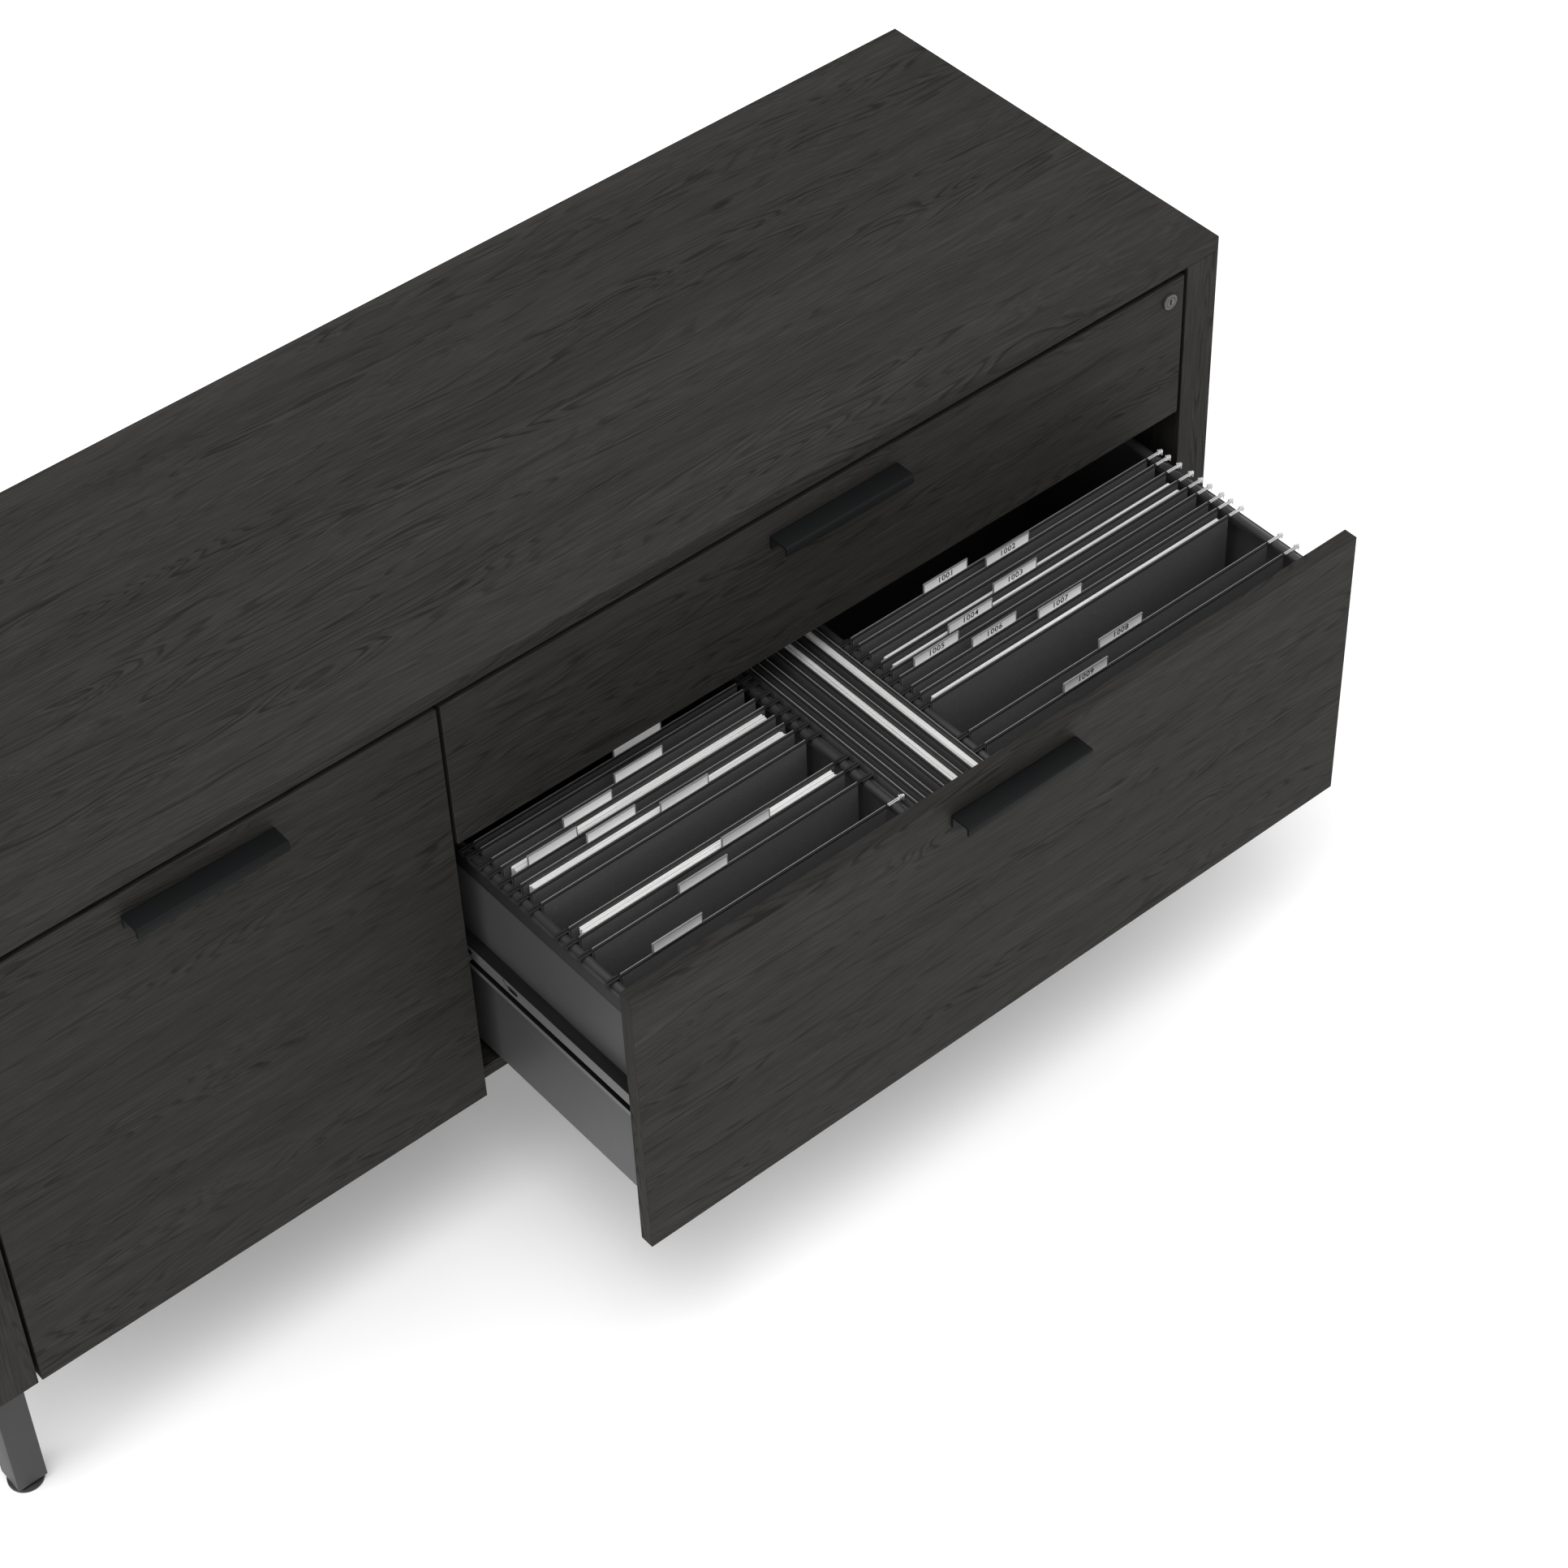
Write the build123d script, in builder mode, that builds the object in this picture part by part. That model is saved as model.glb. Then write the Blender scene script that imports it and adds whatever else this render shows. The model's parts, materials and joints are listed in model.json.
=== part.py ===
"""Wood-veneered filing credenza with a two-drawer file section and a deep pull-out.

Frame: +X along the front, +Y towards the back, +Z up, in millimetres.
The origin is on the floor, in the middle of the whole piece, counting the file
drawer as it stands: pulled out by file_open.
"""
from build123d import *
import os
from math import sqrt

os.makedirs("parts", exist_ok=True)

# ---------------------------------------------------------------- driving dimensions
case_width = 1414.0          # over the side panels
case_depth = 450.0           # front plane to back
base_height = 172.5          # floor to the lower edge of the fronts
side_thick = 39.0
top_thick = 16.0
panel_thick = 15.0           # bottom panel and partition
back_thick = 6.0
front_thick = 15.0
right_front_width = 848.0
upper_front_height = 162.0
file_front_height = 325.0
side_reveal = 3.8            # between a front and a side panel
front_gap = 4.0              # between the left and right fronts
stack_gap = 3.5              # between the upper and file fronts
top_reveal = 6.3             # between the fronts and the top panel
bottom_recess = 2.5          # lower face of the bottom panel above the fronts' lower edge
bumper_gap = 1.0             # between a closed front and the case behind it
edge_break = 0.5             # small bevel on the arrises of the wood
file_open = 234.6            # how far the file drawer stands open

# drawer boxes
box_wall = 1.5               # folded steel sheet
box_room = 29.0              # between the back of a closed box and the back panel
box_lift = 32.0              # box bottom above its front's lower edge
upper_box_height = 92.0
file_box_height = 241.5
deep_box_height = 250.0

# telescopic slides: a lipped channel on the drawer, a smaller channel inside it, and inside that
# the head of a rail whose stem comes out through the groove between the lips
slide_thick = 12.7
slide_setback = 3.0          # front end of a slide behind the front panel
slide_room = 26.0            # between the slides and the back panel
slide_sheet = 1.2
slide_wall_gap = 0.7         # between the drawer's channel and the case
member_gap = 0.8             # between nested members
drawer_member_height = 28.4
upper_lip = 14.0
lower_lip = 5.0
slot_length = 14.0
slot_height = 6.0
slot_places = (169.0, 235.0)  # slots in the upper lip, behind the channel's front end
upper_slide_rise = 46.0      # slide centre above the box bottom
file_slide_rise = 136.2
deep_slide_rise = 136.2

# pulls, bent from sheet
pull_length = 146.0
pull_reach = 23.0
pull_lip = 9.8
pull_flange = 14.0
pull_sheet = 2.4
pull_drop = 22.0             # plate below the top edge of its front
bend_radius = 2.4

# cam lock
lock_flange_diameter = 16.0
lock_flange_proud = 2.5
lock_barrel_diameter = 14.0
lock_plug_diameter = 10.0
lock_clearance = 0.2
lock_from_edge = 18.6        # lock axis to the front's right edge
lock_from_top = 20.7         # lock axis to the front's top edge
barrel_tail = 5.0            # barrel behind the front panel
keyway_width = 1.8
keyway_height = 6.5
keyway_depth = 12.0
cam_thick = 2.0
cam_width = 12.0
cam_reach = 32.0             # lock axis to the cam's tip
cam_shank = 6.0              # square end of the plug
cam_gap = 1.0                # between the barrel and the cam
pocket_margin = 1.2          # room around the swinging cam in the top panel

# hanging-file rails
rail_width = 8.4
side_rail_height = 11.0
mid_rail_height = 16.0
rail_bulb = 8.0              # height of the rounded upper part
rail_inset = 2.9             # bulb behind the outer face of the drawer side
letter_spacing = 311.0       # between rail centres
legal_spacing = 387.4
cross_bar_width = 8.4

# hanging files
leaf_thick = 2.0
leaf_drop = 236.0
leaf_end_gap = 5.0           # between a leaf and the rail beside it
rod_height = 2.5
rod_overhang = 7.0           # rod past the rail's centre line
# places of the leaves behind the drawer's front face
letter_leaves = (58, 96, 114, 128, 166, 182, 195, 208, 223, 236, 252, 262)
legal_leaves = (57, 78, 129, 143, 155, 171, 183, 196, 212, 227, 238)
# places of the leaves between the mid rails, as shares of the room between their skirts
cross_leaves = (0.07, 0.176, 0.282, 0.435, 0.541, 0.695, 0.824, 0.978)
paper_gap = 1.0              # between a stack and the leaves beside it
paper_lift = 14.0            # stack bottom above the leaf's lower edge
paper_drop = 1.5             # stack top below the rails' top
paper_end_gap = 6.0
letter_stacks = (2, 5, 7)    # each stack lies behind the leaf of this number
legal_stacks = (2, 6, 7)
legal_stack_thick = 5.5
cross_stacks = (4, 6)
tab_width = 54.0
tab_height = 12.0
tab_thick = 1.6
# tabs: number of the leaf, and the tab's middle from the rail on the left
letter_tabs = ((0, 69), (1, 128), (2, 190), (5, 177), (6, 106), (7, 52), (8, 102), (9, 169), (11, 188))
legal_tabs = ((0, 128), (1, 191), (3, 177), (4, 107), (5, 51), (6, 103), (7, 170), (9, 189), (10, 122))

# legs
leg_size = 30.0
leg_wall = 2.0
leg_setback = 30.0           # legs in from the front and back of the case
foot_height = 8.0
foot_diameter = 34.0
foot_stem_diameter = 8.0
foot_stem_length = 12.0
foot_plug_height = 18.0
foot_plug_gap = 0.2

# ---------------------------------------------------------------- derived places
front_y = (file_open + pull_reach - case_depth) / 2
back_y = front_y + case_depth
right_x = case_width / 2
inner_x = right_x - side_thick
case_top = base_height + file_front_height + stack_gap + upper_front_height + top_reveal + top_thick
top_under = case_top - top_thick
panel_y = front_y + front_thick + bumper_gap
back_panel_y = back_y - back_thick
bottom_under = base_height + bottom_recess
bottom_over = bottom_under + panel_thick

right_front = (inner_x - side_reveal - right_front_width, inner_x - side_reveal)
left_front = (-inner_x + side_reveal, right_front[0] - front_gap)
partition_x = (left_front[1] + right_front[0]) / 2

upper_z = base_height + file_front_height + stack_gap
file_z = base_height
deep_front_height = file_front_height + stack_gap + upper_front_height

box_inset = slide_thick + (panel_thick - front_gap) / 2
spacer_thick = box_inset + side_reveal - slide_thick
right_box = (right_front[0] + box_inset, right_front[1] - box_inset)
left_box = (left_front[0] + box_inset, left_front[1] - box_inset)
box_depth = case_depth - front_thick - back_thick - box_room
middle_member_height = drawer_member_height - 2 * (slide_sheet + member_gap)
case_head_height = middle_member_height - 2 * (slide_sheet + member_gap)
slide_length = case_depth - front_thick - slide_setback - back_thick - slide_room

lock_x = right_front[1] - lock_from_edge
lock_z = upper_z + upper_front_height - lock_from_top
cam_y = front_y + front_thick + barrel_tail + cam_gap

file_y = front_y - file_open             # front plane of the open file drawer
rail_top = file_z + box_lift + file_box_height + side_rail_height
file_back_height = file_box_height + side_rail_height - mid_rail_height
left_rail_x = right_box[0] + rail_inset + rail_width / 2
mid_left_rail_x = left_rail_x + letter_spacing
right_rail_x = right_box[1] - rail_inset - rail_width / 2
mid_right_rail_x = right_rail_x - legal_spacing
rail_reach = rail_width / 2 + rail_inset
cross_x = (mid_left_rail_x + rail_reach, mid_right_rail_x - rail_reach)
box_front_y = file_y + front_thick
box_back_y = box_front_y + box_depth


# ---------------------------------------------------------------- helpers
def keep(builder, node):
    """Label a finished piece and write it to its own file."""
    builder.part.label = node
    export_step(builder.part, f"parts/{node}.step")


def middle(span):
    return (span[0] + span[1]) / 2


def length(span):
    return span[1] - span[0]


def make_board(node, x_span, y_span, z_span, bevel=0.0):
    """A plain board or sheet between three pairs of planes."""
    with BuildPart() as board:
        with BuildSketch(Plane.XY.offset(z_span[0])):
            with Locations((middle(x_span), middle(y_span))):
                Rectangle(length(x_span), length(y_span))
        extrude(amount=length(z_span))
        if bevel:
            chamfer(board.edges(), length=bevel)
    keep(board, node)


# ---------------------------------------------------------------- case
def make_top_panel():
    """Top board, with a pocket underneath that the lock's cam swings up into."""
    swing = sqrt(cam_reach**2 + (cam_width / 2) ** 2 - (top_under - lock_z) ** 2)
    pocket_x = (lock_x - swing - pocket_margin, lock_x + cam_width / 2 + pocket_margin)
    pocket_y = (cam_y - pocket_margin, cam_y + cam_thick + pocket_margin)
    pocket_depth = cam_reach - (top_under - lock_z) + pocket_margin
    with BuildPart() as top:
        with BuildSketch(Plane.XY.offset(top_under)):
            with Locations((0, middle((front_y, back_y)))):
                Rectangle(case_width, case_depth)
        extrude(amount=top_thick)
        chamfer(top.edges(), length=edge_break)
        with BuildSketch(Plane.XY.offset(top_under)):
            with Locations((middle(pocket_x), middle(pocket_y))):
                Rectangle(length(pocket_x), length(pocket_y))
        extrude(amount=pocket_depth, mode=Mode.SUBTRACT)
    keep(top, "top_panel")


def make_case():
    side_z = (base_height, top_under)
    case_y = (front_y, back_y)
    make_top_panel()
    make_board("left_side_panel", (-right_x, -inner_x), case_y, side_z, edge_break)
    make_board("right_side_panel", (inner_x, right_x), case_y, side_z, edge_break)
    make_board("bottom_panel", (-inner_x, inner_x), (panel_y, back_panel_y), (bottom_under, bottom_over))
    partition_span = (partition_x - panel_thick / 2, partition_x + panel_thick / 2)
    make_board("partition_panel", partition_span, (panel_y, back_panel_y), (bottom_over, top_under))
    make_board("back_panel", (-inner_x, inner_x), (back_panel_y, back_y), (bottom_under, top_under))


def make_slide_spacers():
    """Packing strips that bring the outer slides in line with their drawer boxes."""
    levels = (
        (-inner_x, file_z + box_lift + deep_slide_rise),
        (inner_x - spacer_thick, file_z + box_lift + file_slide_rise),
        (inner_x - spacer_thick, upper_z + box_lift + upper_slide_rise),
    )
    start_y = front_y + front_thick + slide_setback
    with BuildPart() as spacers:
        for low_x, level in levels:
            with BuildSketch(Plane.XY.offset(level - case_head_height / 2)):
                with Locations((low_x + spacer_thick / 2, start_y + slide_length / 2)):
                    Rectangle(spacer_thick, slide_length)
            extrude(amount=case_head_height)
    keep(spacers, "slide_spacers")


def make_leg_frame(node, centre_x):
    """Steel tube bent and welded to a U that stands upside down under a side panel."""
    leg_y = (front_y + leg_setback, back_y - leg_setback)
    with BuildPart() as frame:
        with BuildSketch(Plane.YZ.offset(centre_x - leg_size / 2)):
            with Locations((middle(leg_y), middle((foot_height, base_height)))):
                Rectangle(length(leg_y), base_height - foot_height)
            with Locations((middle(leg_y), middle((foot_height, base_height - leg_size)))):
                Rectangle(
                    length(leg_y) - 2 * leg_size,
                    base_height - leg_size - foot_height,
                    mode=Mode.SUBTRACT,
                )
        extrude(amount=leg_size)
        with BuildSketch(Plane.YZ.offset(centre_x - leg_size / 2 + leg_wall)):
            with Locations((middle(leg_y), middle((foot_height, base_height - leg_wall)))):
                Rectangle(length(leg_y) - 2 * leg_wall, base_height - leg_wall - foot_height)
            with Locations((middle(leg_y), middle((foot_height, base_height - leg_size + leg_wall)))):
                Rectangle(
                    length(leg_y) - 2 * leg_size + 2 * leg_wall,
                    base_height - leg_size + leg_wall - foot_height,
                    mode=Mode.SUBTRACT,
                )
        extrude(amount=leg_size - 2 * leg_wall, mode=Mode.SUBTRACT)
    keep(frame, node)


def make_levelling_feet(frame_places):
    """Round pad, stem and the square plug that closes the end of each leg."""
    plug_size = leg_size - 2 * leg_wall - 2 * foot_plug_gap
    leg_centres_y = (front_y + leg_setback + leg_size / 2, back_y - leg_setback - leg_size / 2)
    places = [(x, y) for x in frame_places for y in leg_centres_y]
    pad_height = foot_height / 2
    with BuildPart() as feet:
        with BuildSketch():
            with Locations(places):
                Circle(foot_diameter / 2)
        extrude(amount=pad_height)
        with BuildSketch(Plane.XY.offset(pad_height)):
            with Locations(places):
                Circle(foot_stem_diameter / 2)
        extrude(amount=foot_stem_length)
        with BuildSketch(Plane.XY.offset(foot_height)):
            with Locations(places):
                Rectangle(plug_size, plug_size)
        extrude(amount=foot_plug_height)
    keep(feet, "levelling_feet")


# ---------------------------------------------------------------- slides
def make_member(node, bars, start_y, slots=()):
    """One member of a slide, made of bars given as spans in x and z. Slots go through the last bar."""
    with BuildPart() as member:
        with BuildSketch(Plane.XZ.offset(-start_y)):
            for x_span, z_span in bars:
                with Locations((middle(x_span), middle(z_span))):
                    Rectangle(length(x_span), length(z_span))
        extrude(amount=-slide_length)
        if slots:
            x_span, z_span = bars[-1]
            with BuildSketch(Plane.YZ.offset(x_span[0])):
                with Locations([(start_y + place, middle(z_span)) for place in slots]):
                    SlotOverall(slot_length, slot_height)
            extrude(amount=length(x_span), mode=Mode.SUBTRACT)
    keep(member, node)


def make_slide_pair(drawer, box_x, box_z, rise, open_by):
    """Case, middle and drawer members on both sides of a drawer box."""
    level = box_z + rise
    start_y = front_y + front_thick + slide_setback
    for side, box_face, inward in (("left", box_x[0], 1), ("right", box_x[1], -1)):
        case_face = box_face - inward * slide_thick

        def span(near, far):
            """Two distances from the case as a span in x."""
            return tuple(sorted((case_face + inward * near, case_face + inward * far)))

        def channel(near, far, height):
            """A channel that opens towards the case: its web and its two flanges."""
            low_z, high_z = level - height / 2, level + height / 2
            return [
                (span(far - slide_sheet, far), (low_z, high_z)),
                (span(near, far), (high_z - slide_sheet, high_z)),
                (span(near, far), (low_z, low_z + slide_sheet)),
            ]

        low_z, high_z = level - drawer_member_height / 2, level + drawer_member_height / 2
        lips = span(slide_wall_gap, slide_wall_gap + slide_sheet)
        make_member(
            f"{drawer}_slide_drawer_{side}",
            channel(slide_wall_gap, slide_thick, drawer_member_height)
            + [(lips, (low_z, low_z + lower_lip)), (lips, (high_z - upper_lip, high_z))],
            start_y - open_by, slot_places,
        )
        middle_near = slide_wall_gap + slide_sheet + member_gap
        middle_far = slide_thick - slide_sheet - member_gap
        make_member(
            f"{drawer}_slide_middle_{side}", channel(middle_near, middle_far, middle_member_height),
            start_y - open_by / 2,
        )
        head_far = middle_far - slide_sheet - member_gap
        stem_z = (low_z + lower_lip + member_gap, high_z - upper_lip - member_gap)
        make_member(
            f"{drawer}_slide_case_{side}",
            [
                (span(0, head_far), stem_z),
                (span(head_far - slide_sheet, head_far), (level - case_head_height / 2, level + case_head_height / 2)),
            ],
            start_y,
        )


# ---------------------------------------------------------------- drawers
def make_box(drawer, box_x, box_z, height, back_height, open_by):
    """Sides, back and bottom of a steel drawer box that hangs behind its front."""
    y_span = (front_y + front_thick - open_by, front_y + front_thick + box_depth - open_by)
    inner = (box_x[0] + box_wall, box_x[1] - box_wall)
    z_span = (box_z, box_z + height)
    make_board(f"{drawer}_box_left", (box_x[0], inner[0]), y_span, z_span)
    make_board(f"{drawer}_box_right", (inner[1], box_x[1]), y_span, z_span)
    make_board(f"{drawer}_box_bottom", inner, (y_span[0], y_span[1] - box_wall), (box_z, box_z + box_wall))
    back_z = (box_z, box_z + back_height)
    make_board(f"{drawer}_box_back", inner, (y_span[1] - box_wall, y_span[1]), back_z)


def make_pull(node, front_x, front_top, face_y):
    """Pull bent from sheet: a flange on the front, a level plate and a short lip."""
    plate_z = front_top - pull_drop
    start_x = middle(front_x) - pull_length / 2
    with BuildPart() as pull:
        with BuildSketch(Plane.YZ.offset(start_x)) as section:
            with BuildLine():
                Polyline(
                    (face_y, plate_z),
                    (face_y - pull_reach, plate_z),
                    (face_y - pull_reach, plate_z - pull_lip),
                    (face_y - pull_reach + pull_sheet, plate_z - pull_lip),
                    (face_y - pull_reach + pull_sheet, plate_z - pull_sheet),
                    (face_y - pull_sheet, plate_z - pull_sheet),
                    (face_y - pull_sheet, plate_z - pull_flange),
                    (face_y, plate_z - pull_flange),
                    close=True,
                )
            make_face()
            bends = section.vertices().group_by(Axis.Y)[-1]
            fillet(bends, radius=bend_radius)
        extrude(amount=pull_length)
    keep(pull, node)


def make_upper_front():
    """Upper drawer front, with the round hole that the lock sits in."""
    with BuildPart() as front:
        with BuildSketch(Plane.XY.offset(upper_z)):
            with Locations((middle(right_front), front_y + front_thick / 2)):
                Rectangle(right_front_width, front_thick)
        extrude(amount=upper_front_height)
        chamfer(front.edges(), length=edge_break)
        with BuildSketch(Plane.XZ.offset(-front_y)):
            with Locations((lock_x, lock_z)):
                Circle(lock_barrel_diameter / 2 + lock_clearance)
        extrude(amount=-front_thick, mode=Mode.SUBTRACT)
    keep(front, "upper_front")


def make_lock():
    """Lock barrel, the plug that turns in it, and the cam on the plug's square end."""
    tail_y = front_y + front_thick + barrel_tail
    with BuildPart() as barrel:
        with BuildSketch(Plane.XZ.offset(-front_y)):
            with Locations((lock_x, lock_z)):
                Circle(lock_flange_diameter / 2)
        extrude(amount=lock_flange_proud)
        with BuildSketch(Plane.XZ.offset(-front_y)):
            with Locations((lock_x, lock_z)):
                Circle(lock_barrel_diameter / 2)
        extrude(amount=-(tail_y - front_y))
        with BuildSketch(Plane.XZ.offset(-front_y + lock_flange_proud)):
            with Locations((lock_x, lock_z)):
                Circle(lock_plug_diameter / 2 + lock_clearance)
        extrude(amount=-(tail_y - front_y + lock_flange_proud), mode=Mode.SUBTRACT)
    keep(barrel, "lock_barrel")

    plug_face = front_y - lock_flange_proud
    with BuildPart() as plug:
        with BuildSketch(Plane.XZ.offset(-plug_face)):
            with Locations((lock_x, lock_z)):
                Circle(lock_plug_diameter / 2)
        extrude(amount=-(cam_y - plug_face))
        with BuildSketch(Plane.XZ.offset(-cam_y)):
            with Locations((lock_x, lock_z)):
                Rectangle(cam_shank, cam_shank)
        extrude(amount=-cam_thick)
        with BuildSketch(Plane.XZ.offset(-plug_face)):
            with Locations((lock_x, lock_z)):
                Rectangle(keyway_width, keyway_height)
        extrude(amount=-keyway_depth, mode=Mode.SUBTRACT)
    keep(plug, "lock_plug")

    cam_end = cam_width / 2
    with BuildPart() as cam:
        with BuildSketch(Plane.XZ.offset(-cam_y)):
            with Locations((lock_x - (cam_reach - cam_end) / 2, lock_z)):
                SlotOverall(cam_reach + cam_end, cam_width)
            with Locations((lock_x, lock_z)):
                Rectangle(cam_shank + lock_clearance, cam_shank + lock_clearance, mode=Mode.SUBTRACT)
        extrude(amount=-cam_thick)
    keep(cam, "lock_cam")


def make_drawers():
    right_drawers = (
        ("upper", upper_z, upper_front_height, upper_box_height, upper_box_height, upper_slide_rise, 0.0),
        ("file", file_z, file_front_height, file_box_height, file_back_height, file_slide_rise, file_open),
    )
    for drawer, low_z, front_height, box_height, back_height, rise, open_by in right_drawers:
        make_box(drawer, right_box, low_z + box_lift, box_height, back_height, open_by)
        make_slide_pair(drawer, right_box, low_z + box_lift, rise, open_by)
        make_pull(f"{drawer}_pull", right_front, low_z + front_height, front_y - open_by)
    make_upper_front()
    file_front_y = (file_y, file_y + front_thick)
    make_board("file_front", right_front, file_front_y, (file_z, file_z + file_front_height), edge_break)

    make_box("deep", left_box, file_z + box_lift, deep_box_height, deep_box_height, 0.0)
    make_slide_pair("deep", left_box, file_z + box_lift, deep_slide_rise, 0.0)
    make_pull("deep_pull", left_front, file_z + deep_front_height, front_y)
    deep_front_y = (front_y, front_y + front_thick)
    make_board("deep_front", left_front, deep_front_y, (file_z, file_z + deep_front_height), edge_break)
    make_lock()


# ---------------------------------------------------------------- hanging files
def make_rail(node, centre_x, height, skirt_side):
    """Rail along the drawer: a round-topped bulb on a skirt that stands to one side of it."""
    half = rail_width / 2
    skirt_x = centre_x + skirt_side * (half + rail_inset / 2)
    with BuildPart() as rail:
        with BuildSketch(Plane.XZ.offset(-box_front_y)) as section:
            with Locations((centre_x, rail_top - rail_bulb / 2)):
                Rectangle(rail_width, rail_bulb)
            fillet(section.vertices().group_by(Axis.Y)[-1], radius=half - 0.2)
            with Locations((skirt_x, rail_top - height / 2 - rail_bulb / 4)):
                Rectangle(rail_inset, height - rail_bulb / 2)
        extrude(amount=-box_depth)
    keep(rail, node)


def make_rails():
    make_rail("file_rail_left", left_rail_x, side_rail_height, -1)
    make_rail("file_rail_mid_left", mid_left_rail_x, mid_rail_height, 1)
    make_rail("file_rail_mid_right", mid_right_rail_x, mid_rail_height, -1)
    make_rail("file_rail_right", right_rail_x, side_rail_height, 1)


def make_cross_bars():
    """Bars behind the front and on the box back that carry the middle files."""
    with BuildPart() as bars:
        for low_y in (box_front_y, box_back_y - cross_bar_width):
            with BuildSketch(Plane.XY.offset(rail_top - mid_rail_height)):
                with Locations((middle(cross_x), low_y + cross_bar_width / 2)):
                    Rectangle(length(cross_x), cross_bar_width)
            extrude(amount=mid_rail_height)
    keep(bars, "file_cross_bars")


def make_hanging_leaves(node, rail_x, leaves):
    """File leaves across the drawer, each hung on a flat rod that rests on two rails."""
    leaf_x = (rail_x[0] + rail_width / 2 + leaf_end_gap, rail_x[1] - rail_width / 2 - leaf_end_gap)
    rod_x = (rail_x[0] - rod_overhang, rail_x[1] + rod_overhang)
    with BuildPart() as files:
        for place in leaves:
            with BuildSketch(Plane.XZ.offset(-(file_y + place - leaf_thick / 2))):
                with Locations((middle(leaf_x), rail_top - leaf_drop / 2)):
                    Rectangle(length(leaf_x), leaf_drop)
                with Locations((middle(rod_x), rail_top + rod_height / 2)):
                    Rectangle(length(rod_x), rod_height)
            extrude(amount=-leaf_thick)
    keep(files, node)


def make_cross_leaves():
    """File leaves that run front to back between the two cross bars."""
    leaf_y = (box_front_y + cross_bar_width + leaf_end_gap, box_back_y - cross_bar_width - leaf_end_gap)
    rod_y = (box_front_y, box_back_y)
    with BuildPart() as files:
        for share in cross_leaves:
            leaf_x = cross_x[0] + share * length(cross_x)
            with BuildSketch(Plane.YZ.offset(leaf_x - leaf_thick / 2)):
                with Locations((middle(leaf_y), rail_top - leaf_drop / 2)):
                    Rectangle(length(leaf_y), leaf_drop)
                with Locations((middle(rod_y), rail_top + rod_height / 2)):
                    Rectangle(length(rod_y), rod_height)
            extrude(amount=leaf_thick)
    keep(files, "cross_files")


def make_papers():
    """Stacks of paper behind their leaves. Only the legal ones leave some of the space free."""
    stack_z = (rail_top - leaf_drop + paper_lift, rail_top - paper_drop)
    inset = rail_width / 2 + leaf_end_gap + paper_end_gap
    letter_x = (left_rail_x + inset, mid_left_rail_x - inset)
    legal_x = (mid_right_rail_x + inset, right_rail_x - inset)
    spare = leaf_thick / 2 + paper_gap
    stacks = []
    for number in letter_stacks:
        y_span = (file_y + letter_leaves[number] + spare, file_y + letter_leaves[number + 1] - spare)
        stacks.append((letter_x, y_span))
    for number in legal_stacks:
        low_y = file_y + legal_leaves[number] + spare
        stacks.append((legal_x, (low_y, low_y + legal_stack_thick)))
    bar_inset = cross_bar_width + leaf_end_gap + paper_end_gap
    cross_y = (box_front_y + bar_inset, box_back_y - bar_inset)
    for number in cross_stacks:
        low_x = cross_x[0] + cross_leaves[number] * length(cross_x) + spare
        high_x = cross_x[0] + cross_leaves[number + 1] * length(cross_x) - spare
        stacks.append(((low_x, high_x), cross_y))
    with BuildPart() as papers:
        for x_span, y_span in stacks:
            with BuildSketch(Plane.XY.offset(stack_z[0])):
                with Locations((middle(x_span), middle(y_span))):
                    Rectangle(length(x_span), length(y_span))
            extrude(amount=length(stack_z))
    keep(papers, "paper_stacks")


def make_tabs():
    """Label tabs that stand on the rods."""
    places = []
    for rail_x, leaves, tabs in (
        (left_rail_x, letter_leaves, letter_tabs),
        (mid_right_rail_x, legal_leaves, legal_tabs),
    ):
        for number, along in tabs:
            places.append((rail_x + along, file_y + leaves[number]))
    with BuildPart() as tabs:
        with BuildSketch(Plane.XY.offset(rail_top + rod_height)):
            with Locations(places):
                Rectangle(tab_width, tab_thick)
        extrude(amount=tab_height)
    keep(tabs, "label_tabs")


def make_files():
    make_rails()
    make_cross_bars()
    make_hanging_leaves("letter_files", (left_rail_x, mid_left_rail_x), letter_leaves)
    make_hanging_leaves("legal_files", (mid_right_rail_x, right_rail_x), legal_leaves)
    make_cross_leaves()
    make_papers()
    make_tabs()


leg_places = (-right_x + side_thick / 2, right_x - side_thick / 2)
make_case()
make_slide_spacers()
make_leg_frame("left_leg_frame", leg_places[0])
make_leg_frame("right_leg_frame", leg_places[1])
make_levelling_feet(leg_places)
make_drawers()
make_files()
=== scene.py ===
"""Looks of a stained-ash filing credenza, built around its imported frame.

Each operator makes or finishes one group of parts; main() runs them all in order.
Lengths are in metres and places come from the frame's own nodes.
"""

import json
import math
import random

import bmesh
import bpy
from mathutils import Matrix, Vector

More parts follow.
